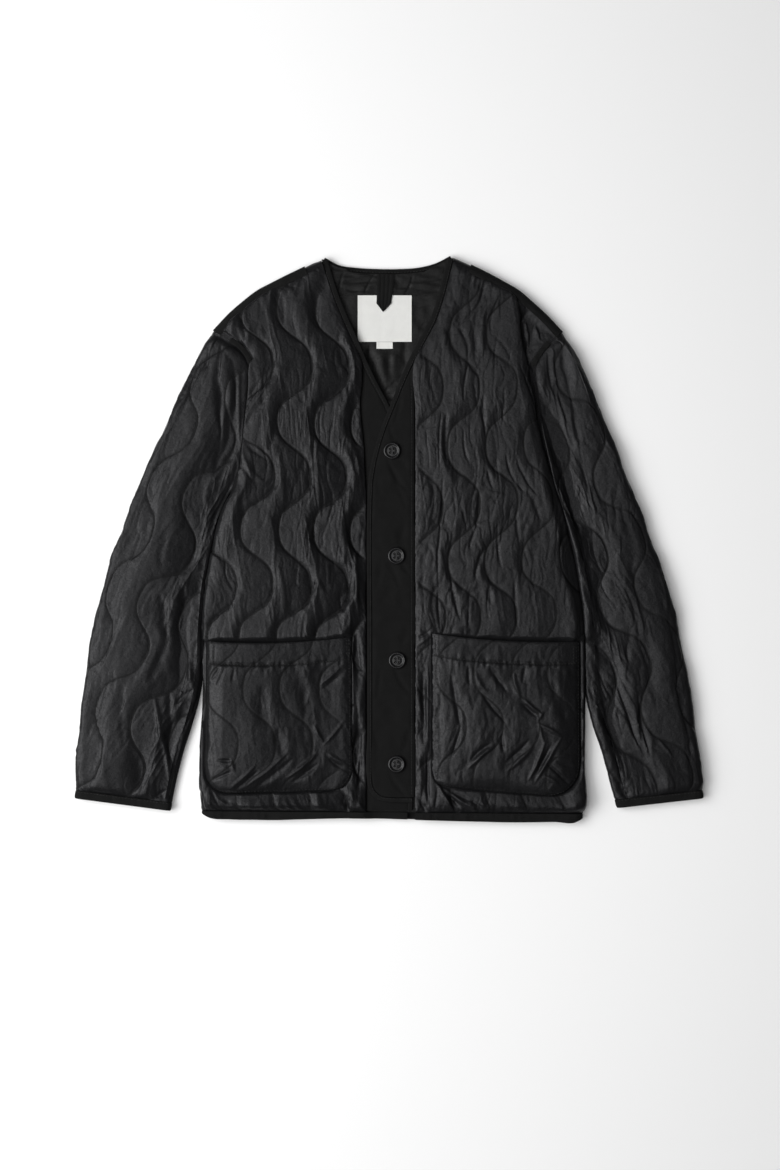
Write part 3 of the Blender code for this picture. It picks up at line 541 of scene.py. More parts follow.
# inside the neck the lining lies in soft ripples and a few creases
inside_folds = [
    (-8, 232, 30, 222, 4, 3.5, 1.2), (-20, 214, 18, 206, -3, 4, 1.4),
    (-2, 218, 6, 190, 2, 3, 1.3), (-34, 236, -12, 206, 3, 3, 1.2),
    (16, 232, 12, 196, -3, 3, 1.2), (-16, 230, 2, 204, 2, 2.4, -1.2),
    (6, 226, 4, 196, -1, 2.2, -1.2), (-28, 236, 0, 166, 0, 3.4, 2.6),
    (-10, 171, 10, 171, 0, 4, 2.6), (-8, 178, 10, 178.5, 0, 1.4, -1.6),
    (34, 280, 52, 284, 2, 1.6, 1.2), (32, 272, 44, 276, 1, 1.8, -1.2),
    (36, 288, 58, 290, -1, 1.6, 1.2), (34, 262, 42, 248, 1, 1.8, 1.1),
    (-60, 300, -44, 262, 2, 3, 0.8),
]
x, y = inside[..., 0], inside[..., 1]
inside[..., 2] += (height_inside * 0.6 + 0.6 * wander(x, y, 7.0, 12.0, 31)
                   + 0.5 * wander(x, y, 14.0, 4.6, 32)
                   + creased(x, y, inside_folds) - 0.3) * at_edges(inside, 12.0)
inside[..., 2] = np.maximum(inside[..., 2], under[..., 2] + 1.2)
covered = ((y > 226.0) & (np.abs(x + 5.3) < 35.0)) | (y > 290.0)     # under the label and facing
inside[..., 2] = np.where(covered, np.minimum(inside[..., 2], WALL), inside[..., 2])
back = cloth_piece("back_cloth", inside, under, LINING, thread=thread_inside)
back.data.materials.append(NYLON)
sides_of_back = np.zeros(len(back.data.polygons), dtype=np.int32)
sides_of_back[(BACK_GRID[0] - 1) * (BACK_GRID[1] - 1):] = 1
back.data.polygons.foreach_set("material_index", sides_of_back)
attach(back, "back")


# ---------------------------------------------------------------- neck facing, labels and hanger loop
# A strip of the same lining stitched along the back of the neck, with a blank white woven label and a
# small blank tag sewn under it, and a hanger loop of folded tape.
FACING_GRID, LOOP_GRID = (25, 97), (57, 25)
FACING_FOOT_Y = 293.2
FACING_HALF_WIDTH = 64.0
FACING_WALL = 1.0
LABEL = (-37.6, 237.0, 27.2, 292.8)
TAG = (-15.0, 228.6, 4.4, 236.7)
LABEL_WALL = 0.5
LOOP_WALL = 0.9
# The loop's two lengths of tape, side by side, down to its point. y, left, middle, right
LOOP = np.array([
    (318, -14.4, -5, 6.4),
    (300, -14.5, -5.2, 5),
    (286, -14.9, -6, 2.7),
    (282.6, -14.9, -6.2, 2.3),
    (281.4, -13.8, -6.4, 1.2),
    (277, -10.4, -6.9, -3),
    (273.2, -7.8, -7.4, -7),
])


def woven_group():
    """A plain weave as a height: two sets of fine ribs at right angles, in the cloth's own place."""
    tree, given, result = new_group("plain_weave", ("Threads",), ("Height", "Fade"))
    place = node(tree, "TexCoord", (0, 0)).outputs["Object"]
    ribs = []
    for k, way in enumerate(("X", "Y")):
        rib = node(tree, "TexWave", (1, k), Vector=place, Scale=given["Threads"], Distortion=0.6)
        rib.bands_direction = way
        ribs.append(rib.outputs["Fac"])
    feed(tree, result["Height"], figured(tree, "MULTIPLY", (2, 0), *ribs))
    fade = node(tree, "TexNoise", (1, -2), Vector=place, Scale=90.0, Detail=4.0)
    feed(tree, result["Fade"], fade.outputs["Fac"])
    return tree


WEAVE = woven_group()


def woven_finish(name, low, high, rough, shine=0.3, threads=420.0, bump=0.35):
    """A matte woven cloth: its colour fades unevenly from low to high, over ribs of thread."""
    material, tree, shader = new_finish(name)
    weave = placed(tree, WEAVE, Threads=threads)
    feed(tree, shader["Base Color"], mixed(tree, (-2, 2), weave["Fade"], (*low, 1.0), (*high, 1.0)))
    raised = node(tree, "Bump", (-1, -2), Strength=bump, Distance=0.0004, Height=weave["Height"])
    feed(tree, shader["Normal"], raised.outputs["Normal"])
    shader["Roughness"].default_value = rough
    shader["Specular IOR Level"].default_value = shine
    return material


TAPE = woven_finish("black_tape", (0.0055, 0.0055, 0.0055), (0.0095, 0.0095, 0.0095),
                    rough=0.8, shine=0.06)
WHITE = woven_finish("white_label", (0.63, 0.63, 0.61), (0.7, 0.7, 0.68),
                     rough=0.85, threads=620.0, bump=0.2)


def flat_piece(name, top, wall, finish):
    """A thin flat piece: its upper face is a grid, and its lower one lies the wall beneath it."""
    return cloth_piece(name, top, top - (0.0, 0.0, wall), finish)


upper = offset(NECK, -(NECK_TAPE + 2 * SEAM))
upper = spread(upper, 33)[1:-1]
along_foot = np.linspace(-FACING_HALF_WIDTH, FACING_HALF_WIDTH, len(upper))
lower = np.column_stack([along_foot, np.full(len(upper), FACING_FOOT_Y)])
upper[:, 1] += 3.2 * unit((np.abs(upper[:, 0]) - 44.0) / 8.0)
facing_top = WALL + SEAM + FACING_WALL
facing = np.array([np.column_stack([line, np.full(len(upper), facing_top)])
                   for line in (lower, upper)])
facing = fine(facing, *FACING_GRID)
# the facing is quilted too, in two arcs each side of the loop
facing_folds = [
    (-15.5, 320, -29, 292, 2.5, 1.1, 0.9), (29.5, 320, 16, 292, -2.5, 1.1, 0.9),
    (-52, 324, -60, 294, 2, 1.1, 0.7), (30, 301, 62, 300, 1, 1.5, 0.9),
    (34, 296, 60, 297, -0.5, 1.3, 0.8), (36, 305, 62, 304, 0.5, 1.3, -0.7),
    (38, 310, 60, 309.5, -1, 1.5, 0.8), (-52, 300, -34, 298, 1, 1.4, 0.7),
    (-56, 308, -26, 309, 1, 1.8, 0.7), (-50, 315, -22, 316, -1, 1.5, -0.6),
    (6, 318, 10, 296, -1.5, 2.4, 0.4),
]
x, y = facing[..., 0], facing[..., 1]
facing[..., 2] += ((creased(x, y, facing_folds) + 0.7 * wander(x, y, 15.0, 3.6, 51))
                   * at_edges(facing, 3.0))
attach(flat_piece("neck_facing", facing, FACING_WALL, LINING), "back_neck_facing")

blanks = (("blank_label", LABEL, "label", 61), ("blank_tag", TAG, "size_tag", 62))
for name, (x0, y0, x1, y1), solid, seed in blanks:
    across, along = np.meshgrid(np.linspace(x0, x1, 31), np.linspace(y0, y1, 27))
    lift = 0.45 * wander(across, along, 21.0, 26.0, seed) * unit((y1 - along) / 12.0)
    hem_fold = 0.25 * unit(1.0 - np.minimum(across - x0, x1 - across) / 2.6) ** 0.3
    top = np.full(across.shape, WALL + SEAM + LABEL_WALL) + np.abs(lift) + hem_fold
    attach(flat_piece(name, np.dstack([across, along, top]), LABEL_WALL, WHITE), solid)

loop = np.array([[(x, y, facing_top + SEAM + LOOP_WALL) for x in row] for y, *row in LOOP])
loop = fine(loop, *LOOP_GRID)
middle = np.abs(np.linspace(-1.0, 1.0, LOOP_GRID[1]))
loop[..., 2] += 0.5 * np.sin(np.pi * unit(middle * 2.0 - np.floor(middle * 2.0))) - 0.2
attach(flat_piece("hanger_tape", loop, LOOP_WALL, TAPE), "hanger_loop")


# ---------------------------------------------------------------- back neck binding
# A strip of matte tape folded over the back's raw neck edge and stitched down. It rises at both ends
# to meet the shoulder seams.
EDGE_WALL = 2.2
NECK_BINDING_TOP = 3.9
NECK_BINDING_RISE = 20.0
# A binding's section: shares across it and heights in walls, up one edge, over and down the other.
TAPE_SECTION = np.array([
    (0.0, -1.0), (-0.03, -0.72), (-0.03, -0.42), (0.03, -0.14), (0.12, 0.0), (0.24, 0.05),
    (0.38, 0.08), (0.5, 0.09), (0.62, 0.08), (0.76, 0.05), (0.88, 0.0), (0.97, -0.14),
    (1.03, -0.42), (1.03, -0.72), (1.0, -1.0),
])


def tape(name, first, second, wall, finish, step=2.0, ripple=0.18, seed=3):
    """A binding carried between two edge lines of points (x, y, top): each ring of it is the section
    laid from the first line to the second, and its top ripples a little along the way."""
    length = np.linalg.norm(np.diff(first, axis=0), axis=1).sum()
    lines = spread(np.stack([first, second], axis=1), int(length / step) + 2)
    shares, heights = TAPE_SECTION[:, 0, None], TAPE_SECTION[:, 1]
    rings = lines[:, None, 0] + (lines[:, None, 1] - lines[:, None, 0]) * shares
    x, y = rings[..., 0], rings[..., 1]
    ripples = ripple * wander(x + 0.6 * y, y - 0.6 * x, 5.0, 7.0, seed) * (heights > -0.3)
    rings[..., 2] += heights * wall + ripples
    index = numbered(*rings.shape[:2], ring=True)
    faces = squares(index) + [index[0, :-1].tolist(), index[-1, :-1][::-1].tolist()]
    return made_up(name, rings.reshape(-1, 3), faces, finish)


from_end = np.minimum(NECK[:, 0] - NECK[0, 0], NECK[-1, 0] - NECK[:, 0])
rise = unit(1.0 - from_end / NECK_BINDING_RISE)
tops = NECK_BINDING_TOP + (MID - SEAM / 2 - NECK_BINDING_TOP) * rise
lines = [np.column_stack([line, tops]) for line in (NECK, offset(NECK, -NECK_TAPE))]
attach(tape("neck_binding", *lines, EDGE_WALL, TAPE), "back_neck_binding")


# ---------------------------------------------------------------- the two fronts
# Panels of the same quilted nylon, each from its button stand or the V's binding out to a side fold
# or the armhole, and up over the shoulder. The puffs stand highest on the wearer's right.
HALVES = ((-1, "right"), (1, "left"))   # the way that x goes to each of the wearer's sides
FRONT_GRID = (421, 193)
FRONT_LIMIT = 14.0                  # the highest that its folds may stand
# Each front's bound edge, down the V and the stand: right_x, right_y, left_x, left_y, width, tops
FRONT_EDGE = np.array([
    (-73.5, 335.5, 70.5, 337, 7, 9.8, 9.8),
    (-69, 320, 65.5, 318, 7.2, 12.6, 12.6),
    (-62, 298, 59, 292, 7.2, 12.9, 12.9),
    (-50.5, 269, 49, 263, 7.2, 12.9, 12.9),
    (-37.5, 240, 36.5, 239, 7.2, 12.9, 12.9),
    (-25.5, 212, 22.5, 212, 6.6, 11.6, 13),
    (-13, 186, 11.5, 186, 6, 10.7, 13.2),
    (0.5, 160, 1.5, 160, 5.6, 10.7, 13.2),
    (10, 137, -8, 137, 5.6, 10.7, 13.2),
    (17, 116, -15, 116, 5.6, 10.7, 13.2),
    (22.5, 95, -20.4, 95, 5.6, 10.7, 13.2),
    (26.5, 72, -24.4, 72, 5.6, 10.7, 13.2),
    (28.5, 36, -26, 36, 5.6, 10.7, 13.2),
    (28.5, -95, -26, -95, 5.6, 10.7, 13.2),
    (28.5, -230, -26, -230, 5.6, 10.7, 13.2),
])
SHARED_ROWS = np.array([12, 11, 9, 7, 5, 4, 3, 2, 1])   # its rows where the quilted panel starts
LOWER_ROWS = np.array([-326.0, -281.0, -233.0, -186.0, -123.0, -61.0, -12.0])
UNDER_STAND_FOOT = -325.4
# The outer stand's round corner: radius, lowest y, and the x where its binding ends
CORNER_RADIUS, CORNER_FOOT, CORNER_END = 25.0, -315.5, 28.0
CORNER_TURN = np.radians(np.linspace(180.0, 270.0, 6))
# The seam between each panel and its stand. y, right_x, left_x
STAND_SEAM = np.array([
    (-340, -27.8, 31.5),
    (36, -27.8, 31.5),
    (72, -28.6, 31.6),
    (116, -31, 31.8),
    (160, -35, 31.4),
    (212, -33.15, 30.2),
])
FLAT_COLUMNS = 7
FRONT_QUILT = {
    -1: dict(centre=-26.0, pitch=43.0, swing=19.5, period=133.5, turn=8.0, puff=5.8,
             lean=0.95, crisp=1.5),
    1: dict(centre=48.0, pitch=42.5, swing=18.5, period=136.0, turn=-26.0, puff=2.2,
            lean=0.5, tilt=0.18, crisp=0.6),
}


def stand_seam(side, y):
    """Where the seam of a panel and its stand lies at a height."""
    return np.interp(y, STAND_SEAM[:, 0], STAND_SEAM[:, 1 if side < 0 else 2])


def bound_edge(side, inward):
    """A front's edge moved in over the cloth by a distance for each row, with its foot."""
    line = side_of(FRONT_EDGE, side)
    inward = np.broadcast_to(inward, len(line))
    slope = np.gradient(line[:, 0]) / np.gradient(line[:, 1])
    moved = np.column_stack([line[:, 0] + side * inward * np.hypot(1.0, slope), line[:, 1]])
    if side < 0:
        return np.vstack([moved, (moved[-1, 0], UNDER_STAND_FOOT)])
    centre = np.array([line[-1, 0], CORNER_FOOT]) + CORNER_RADIUS
    turned = np.stack([np.cos(CORNER_TURN), np.sin(CORNER_TURN)], axis=-1)
    arc = centre + (CORNER_RADIUS - inward[-1]) * turned
    return np.vstack([moved, arc, (CORNER_END, CORNER_FOOT + inward[-1] - 0.5)])


def front_face(side, depth):
    """A front's face at a depth, coarse: rows from its stand or V out to its side fold or armhole,
    up from the hem and over the shoulder fold."""
    outer = body_edge(side)
    bound = bound_edge(side, FRONT_EDGE[:, 4] + SEAM)[SHARED_ROWS]
    low = np.stack([stand_seam(side, LOWER_ROWS), LOWER_ROWS], axis=-1)
    low[0, 1] = np.interp(low[0, 0], SIDES[0, [0, 2]], SIDES[0, [1, 3]])
    below_v = bound[:, 1] < STAND_SEAM[-1, 0] + 1.0
    bound[:, 0] = np.where(below_v, stand_seam(side, bound[:, 1]), bound[:, 0])
    inner = np.vstack([low, bound])
    insets, rises = folded_edge(depth)
    turns = folded_edge(0.0)[0]
    steps = np.linspace(0.0, 1.0, FLAT_COLUMNS + 1)[:-1]
    line = side_of(SHOULDERS, side)
    run = np.concatenate([[0.0], np.cumsum(np.linalg.norm(np.diff(line, axis=0), axis=1))])
    marks = np.concatenate([steps * (run[-1] - MID), run[-1] - turns])
    shoulder = np.stack([np.interp(marks, run, line[:, k]) for k in (0, 1)], axis=-1)
    bow = bow_of(shoulder)[0]
    grid = []
    for row in range(FLAT_ROWS):
        way = outer[row] - inner[row]
        width = np.linalg.norm(way)
        folded = row < SIDE_ROWS
        ends = 1.0 - (insets if folded else turns) / width
        shares = np.concatenate([steps * (1.0 - MID / width), ends])
        section = inner[row] + way * shares[:, None] + bow * BOWING[row]
        top = np.full(len(section), 2 * MID - depth)
        if folded:
            top[-len(rises):] = MID + rises
        grid.append(np.column_stack([section, top]))
    blend = np.linspace(0.0, 1.0, len(shoulder))[:, None]
    end = outer[FLAT_ROWS:]
    inward = (toward(inner[-1] - shoulder[0]) * (1.0 - blend)
              + toward(outer[FLAT_ROWS - 1] - shoulder[-1]) * blend)
    for inset, rise, corner in zip(insets, rises, end):
        section = shoulder + inward * inset
        section[-1] = end[-1] + (end[0] - end[-1]) * inset / MID
        grid.append(np.column_stack([section, np.full(len(section), MID + rise)]))
    return np.array(grid)


def puckered(x, y, sewn, cells, depth, reach, seed):
    """Short puckers close to a seam: chance heights on slanted cells, gone at reach from it."""
    slanted = wander(x + y, y - x, *cells, seed)
    return slanted * (1.0 - eased(sewn, reach)) * eased(sewn, 4.0) * depth


def shell_piece(name, solid, face, lining, thread):
    """A panel of quilted nylon in its solid's place, its unseen inner face made coarser."""
    panel = cloth_piece(name, face, lining[::EVERY, ::EVERY], NYLON, every=EVERY, thread=thread)
    attach(panel, solid)


# Creases given for each front. x0, y0, x1, y1, bow, half_width, depth
FRONT_CREASES = {
    -1: [
        (-178, 264, -164, 216, 1, 2.4, 3.2), (-172.5, 264, -164, 236, 0.5, 1.8, 2.4),
        (-189, 255, -172, 228, -1, 1.9, -2), (-182, 258, -168, 222, 1, 1.7, -1.8),
        (-159, 256, -170, 156, 0.5, 3.4, -3.6), (-152, 246, -146, 188, -6, 8, 2.4),
        (-168, 275, -152, 236, 4, 4.5, -2.2), (-150, 280, -146, 225, -5, 5.5, 1.6),
        (-120, 300, -102, 228, -6, 7, -3), (-134, 298, -124, 250, -4, 4, 2),
        (-96, 306, -88, 262, -4, 4.5, 1.8), (-171, 138, -148, 182, 1, 1.7, -2.4),
        (-170, 131, -138, 187, -2, 1.9, -3), (-169, 134, -143, 184, -1, 1.5, 2.8),
        (-168, 124, -137, 170, -3, 3.2, 2.6), (-170, 160, -150, 186, 1, 1.6, 2),
        (-137, 141, -146, 103, -1, 6, -3.4), (-133, 142, -140, 98, -1, 3, 2.8),
        (-160, 113, -138, 90, 1, 2, -2), (-166, 112, -146, 92, 2, 2.4, 2),
        (-168, 102, -144, 62, 8, 3, -2.2), (-172, 98, -154, 60, 6, 2.6, 2.2),
        (-178, 96, -179, -12, 2, 5, -2.8), (-170, 56, -168, -8, 2, 4, 2),
        (-128, 100, -126, 16, -2, 3, -2.4), (-84, 122, -81, 20, 1, 2.6, -2),
        (-88, 120, -86, 60, 1, 1.4, 1.8), (-44, 112, -34, 70, -2, 3.4, -2),
        (-40, -14, -36, -96, 1, 2.6, -2.2), (-31, 36, -36, -20, -2, 2.2, 1.6),
        (-214, -10, -196, -90, 4, 5, 1.3), (-128, -34, -122, -100, -2, 3, -2.2),
        (-60, 262, -50, 200, 3, 5, 1.2), (-40, 190, -44, 120, -3, 5, 1.3),
        (-38, -110, -37, -210, 1, 5, 4), (-37, -200, -38, -322, -1, 5, 4),
        (-42, -112, -44, -168, 0.5, 1.5, -2.4), (-34, -250, -40, -300, 1, 1.5, -2),
        (-218, -286, -196, -326, 1, 1.5, 2.2), (-212, -300, -176, -330, 1, 1.5, -2.2),
        (-206, -308, -160, -328, -1, 1.5, 1.8),
    ],
    1: [
        (115, 306, 78, 252, -8, 1.6, 1.6), (78, 255, 92, 214, -6, 1.8, 1.6),
        (92, 216, 110, 190, 3, 1.8, 1.4), (130, 286, 120, 238, 5, 1.6, 1.5),
        (120, 240, 146, 198, -4, 1.8, 1.4), (103, 272, 103, 204, 2, 3.4, 2.6),
        (111, 268, 110, 205, 2, 2.2, -1.4), (152, 286, 166, 204, -4, 7, 3.6),
        (166, 262, 172, 216, -1, 2.4, -2.6), (178, 258, 184, 232, 1, 2, -2.2),
        (176, 254, 170, 222, 1, 1.8, 1.8), (188, 262, 194, 250, 0.5, 2.2, -2),
        (166, 208, 176, 165, -1, 5, 3), (176, 168, 188, 128, -1, 5, 2.6),
        (153, 200, 170, 150, -2, 1.5, 1.6), (68, 148, 69.5, 88, 1.5, 3, 2.6),
        (62.5, 151, 60.5, 78, 1, 1.3, 1.4), (64, 70, 61.5, 16, -1, 1.3, 1.6),
        (61.5, 20, 59.5, -62, 1.5, 1.3, 1.5), (112, 170, 114, 118, 1, 2.3, 2.6),
        (116, 80, 122, 56, 0.5, 1.9, 2.2), (106, 54, 103, 10, -1, 1.7, 2),
        (104, 12, 95, -16, 1, 1.6, 1.8), (113, -14, 101, -51, 1, 2.3, 2.4),
        (113, 54, 141, 48, 1.5, 1.5, -1.5), (137.5, 97, 149, 61, 1, 1.5, 2),
        (148, 63, 159, 50, -1, 1.4, 1.8), (148, 97, 174.5, 43, 3, 1.7, 2.2),
        (160.5, 53, 178, 15, -2, 3, 2.6), (150.5, 32, 153, -16, 1, 2, 1.8),
        (148.5, -44, 151, -111, 1, 1.7, 1.7), (73, -40, 84.5, -100, 1.5, 2.1, 2),
        (58.5, -62, 61, -112, 0.5, 1.7, 1.6), (118, -60, 121, -82, 0.5, 2.6, 1.8),
        (88, 130, 96, 84, 2, 1.3, 1.3), (84, 40, 92, 6, -2, 1.4, 1.3),
        (128, 20, 134, -44, 2, 1.6, 1.3), (136, 176, 132, 128, -2, 1.5, 1.4),
        (94, 206, 88, 160, 1.5, 1.4, 1.4), (47, 236, 52, 176, 2, 3.4, 1.1),
        (40, -160, 42, -248, -1, 4, 4), (34, -130, 33, -200, 0.5, 1.8, -2),
        (46.5, -150, 47, -240, 0.5, 1.5, -2.4), (36, -258, 38, -312, 1, 4, -2.6),
        (46, -260, 46, -318, -0.5, 2, 3), (32, -128, 54, -113, 1, 1.5, -1.8),
        (31, -120, 52, -108, 1, 1.5, 1.6), (53, -282, 80, -331, 1, 1.5, -2.6),
        (56, -288, 96, -331, 1, 1.4, 2.6), (60, -294, 111, -331, 1, 1.6, -2.8),
        (70, -300, 122, -329, -1, 1.5, 2.2), (205, -312, 232, -296, -1, 1.6, -1.8),
    ],
}
SHOULDER_GATHERS = {-1: (-145.0, -92.0), 1: (84.0, 150.0)}
# The patch pockets that lie over the fronts, by their corners, how far the top dips, and lower radii
POCKETS = {
    -1: dict(top_left=(-219.0, -122.5), top_right=(-45.5, -117.5), dip=4.5,
             bottom_left=(-221.0, -305.5), bottom_right=(-44.0, -302.0), radii=(30.0, 26.0)),
    1: dict(top_left=(52.0, -113.5), top_right=(229.0, -123.0), dip=4.0,
            bottom_left=(52.5, -298.0), bottom_right=(229.5, -309.0), radii=(20.0, 38.0)),
}
SHOULDER_TAPE = 9.5                 # the cloth is pressed flat under it
TAPE_FOOT_Y = 206.0                 # the cloth covers the armhole's tape below this
EVERY = 4                           # the unseen inner face is this much coarser


def under_pocket(side, x, y):
    """How far the cloth is pressed by the pocket on it: 1 under it, falling to 0 just outside its
    sides and round corners, and above its slack top edge; and how far it is held down around it."""
    pocket = POCKETS[side]
    left = (pocket["top_left"][0] + pocket["bottom_left"][0]) / 2
    right = (pocket["top_right"][0] + pocket["bottom_right"][0]) / 2
    share = unit((x - left) / (right - left))
    top = pocket["top_left"][1] * (1.0 - share) + pocket["top_right"][1] * share
    top = top - pocket["dip"] * 4.0 * share * (1.0 - share)
    foot = pocket["bottom_left"][1] * (1.0 - share) + pocket["bottom_right"][1] * share
    inside = np.minimum(np.minimum(x - left, right - x), y - foot)
    for radius, from_side in zip(pocket["radii"], (x - left, right - x)):
        in_corner = (from_side < radius) & (y - foot < radius)
        rounded = radius - np.hypot(radius - from_side, radius - (y - foot))
        inside = np.where(in_corner, rounded, inside)
    gap = 1.0 + 1.6 * np.sin(np.pi * share) + 0.8 * wander(x, y, 9.0, 40.0, 97)
    above = unit((top - y) / gap + 1.0)
    held = 0.55 * unit(inside / 16.0 + 1.0) * above
    return unit(inside / 1.4 + 1.0) * above, held


def swell(side, x, y):
    """The slack body's broad swell: highest some way in from its side, falling away to the armpit."""
    if side < 0:
        return np.interp(x, (-235.0, -205.0, -168.0, -40.0), (0.0, 5.5, 11.8, 0.0))
    brow_x = (222.0, 215.0, 200.0, 190.0, 174.0, 154.0, 146.0)
    brow_y = (-340.0, -110.0, -50.0, 30.0, 100.0, 190.0, 280.0)
    share = (x - 40.0) / (np.interp(y, brow_y, brow_x) - 40.0)
    shares = (0.0, 0.45, 0.72, 0.97, 1.02, 1.08, 1.2, 1.4)
    return np.interp(share, shares, (0.0, 4.4, 7.2, 12.4, 10.6, 4.6, -3.0, -4.0))


for side, name in HALVES:
    face, lining = [fine(front_face(side, depth), *FRONT_GRID) for depth in (0.0, WALL)]
    x, y = face[..., 0], face[..., 1]
    puffed, thread = quilting(x, y, seed=71 + side, **FRONT_QUILT[side])
    height = puffed + creased(x, y, FRONT_CREASES[side]) + swell(side, x, y)
    height -= 3.4 * unit((y - 215.0) / 90.0)       # lower toward the shoulder
    rough = 0.8 if side < 0 else 0.9
    height += rough * rumpled(x, y, 81 + 10 * side) + 0.3 * wander(x, y, 6.0, 12.0, 96)
    away = from_sides(face)
    at_armhole = unit((np.linspace(0.0, 1.0, FRONT_GRID[0])[:, None] - 0.6) * 20.0)
    taped = at_armhole * unit((y - TAPE_FOOT_Y) / 6.0)
    at_end = np.maximum(away["end"] - 3.6 * taped, 0.0)
    sewn = np.minimum(np.minimum(away["foot"], away["start"]), at_end + 40.0 * (1.0 - at_armhole))
    sewn = np.minimum(sewn, np.maximum(away["head"] - SHOULDER_TAPE - 1.5, 0.0))
    low_x, high_x = SHOULDER_GATHERS[side]
    gathers = unit(1.6 - 1.6 * np.abs(2.0 * x - low_x - high_x) / (high_x - low_x))
    gathers = gathers * bell(away["head"] - 22.0, 14.0)
    height += 1.5 * gathers * wander(x - 0.25 * y, y, 3.4, 26.0, 87 + side)
    free = eased(sewn, 12.0) * eased(at_end, 9.0)
    puckers = puckered(x, y, sewn, (3.6, 5.2), 0.8, 16.0, 91)
    low_edge = np.exp(-away["foot"] / 16.0) * eased(away["foot"], 4.0)
    puckers += 1.6 * low_edge * wander(x + 0.5 * y, y, 4.4, 20.0, 93)
    height = (height * free + eased(sewn, 20.0)
              - 1.6 * (1.0 - taped) * np.exp(-sewn / 2.5) + puckers)
    beside = np.interp(y, (-170.0, -120.0, 84.0, 104.0), (0.0, 1.0, 1.0, 0.0))
    bulge = 1.6 * beside * bell(away["end"], 9.0)    # where it meets the sleeve
    height += bulge * unit((face[..., 2] - MID) / 3.5)
    pressed, held = under_pocket(side, x, y)
    height = kept_low(height, FRONT_LIMIT)
    height = np.where(height > 0.0, height * (1.0 - held), height)
    face = raised_by(height * (1.0 - pressed) - 0.4 * pressed, face, lining)
    shell_piece(f"{name}_front_panel", f"{name}_front", face, lining, thread * free)


# ---------------------------------------------------------------- button stands
# Flat unquilted strips of matte cloth down the fronts' edges. The wearer's left one carries the
# buttons and lies over the right one, and its lower corner is round.
STAND_GRID = (221, 25)
STAND_WALL = 2.2
STAND_CLOTH = woven_finish("black_stand_cloth", (0.0055, 0.0055, 0.0055), (0.0085, 0.0085, 0.0085),
                           rough=0.75, shine=0.05)
# Soft creases of the outer stand, most of them dragged down from its buttons
STAND_CREASES = [
    (-3, 97, 24, 57, 3, 2.2, 2.2), (8, 98, 24, 80, -2, 2.6, 0.8),
    (4, 76, 20, 36, -2, 3, 0.9), (-16, 92, -8, 48, 2, 3.5, 0.8),
    (14, -28, 29, -44, 2, 2, 1.6), (-2, -28, 12, -58, -2, 2.6, 1.1),
    (-10, -28, -18, -60, -2, 3.5, 0.8), (6, -155, 27, -186, 3, 2.4, 1.5),
    (-10, -152, -18, -196, -2, 3, 1), (0, -278, 20, -308, 2, 2.6, 1.1),
    (-4, 150, 8, 116, 2, 2.6, 1), (14, 180, 6, 140, -2, 3, 0.9),
    (20, 20, 12, -8, 2, 4, 0.8), (-20, -90, -12, -120, 2, 4, 0.8),
    (22, -100, 14, -132, -2, 4, 0.8), (-22, -220, -10, -256, 2, 4, 0.9),
    (24, -225, 16, -258, -2, 4, 0.9),
]


def edge_tops(side):
    """The height of a front's binding at each point of its edge."""
    tops = FRONT_EDGE[:, 5 if side < 0 else 6]
    return np.append(tops, np.full(len(bound_edge(side, 0.0)) - len(tops), tops[-1]))


def stand_face(side):
    """A stand's upper face, coarse: rows up from the hem, from its binding to the quilted panel."""
    bound = bound_edge(side, FRONT_EDGE[:, 4] + SEAM)
    tops = edge_tops(side)
    kept = bound[:, 1] < STAND_SEAM[-1, 0] - 1.0
    if side > 0:
        kept[-1] = False
    bound, tops = bound[kept][::-1], tops[kept][::-1]
    seam = np.stack([stand_seam(side, bound[:, 1]) - side * SEAM, bound[:, 1]], axis=-1)
    if side > 0:
        turns = len(CORNER_TURN)
        seam[:turns, 1] = np.linspace(bound[0, 1], bound[turns - 1, 1], turns)
    end_y = STAND_SEAM[-1, 0] - 2.0
    end = np.array([stand_seam(side, end_y) - side * SEAM, end_y])
    bound = np.vstack([bound, end - (side * 0.5, 0.0)])
    seam = np.vstack([seam, end])
    tops = np.append(tops, tops[-1])
    lines = [np.column_stack([line, tops]) for line in (bound, (bound + seam) / 2, seam)]
    return np.stack(lines, axis=1)


for side, name in HALVES:
    top = fine(stand_face(side), *STAND_GRID)
    x, y = top[..., 0], top[..., 1]
    away = from_sides(top)
    sewn = np.minimum(away["start"], away["end"])
    soft = (0.55 * wander(x, y, 19.0, 44.0, 101) + 0.3 * wander(x, y, 8.0, 15.0, 102)
            + creased(x, y, STAND_CREASES))
    height = soft * eased(sewn, 8.0) * (0.35 if side < 0 else 1.0)
    height += (0.22 * wander(x, y, 9.0, 3.2, 103) * np.exp(-sewn / 4.0)
               - 0.5 * np.exp(-sewn / 1.2))
    height -= 1.0 * np.exp(-away["end"] / 1.8) + 0.3 * bell(away["end"] - 4.2, 1.0)
    top[..., 2] += np.minimum(height, 0.0) if side < 0 else height
    attach(flat_piece(f"{name}_button_stand", top, STAND_WALL, STAND_CLOTH),
           f"{name}_stand")


# ---------------------------------------------------------------- front bindings
# The same folded tape runs down the V and each stand's edge, and round the outer stand's corner. It
# is stitched through close to its inner edge.
for side, name in HALVES:
    tops = edge_tops(side)[:, None]
    lines = [np.hstack([bound_edge(side, width), tops]) for width in (0.0, FRONT_EDGE[:, 4])]
    attach(tape(f"{name}_edge_tape", *lines, EDGE_WALL, TAPE, step=1.6, seed=105 + side),
           f"{name}_front_binding")


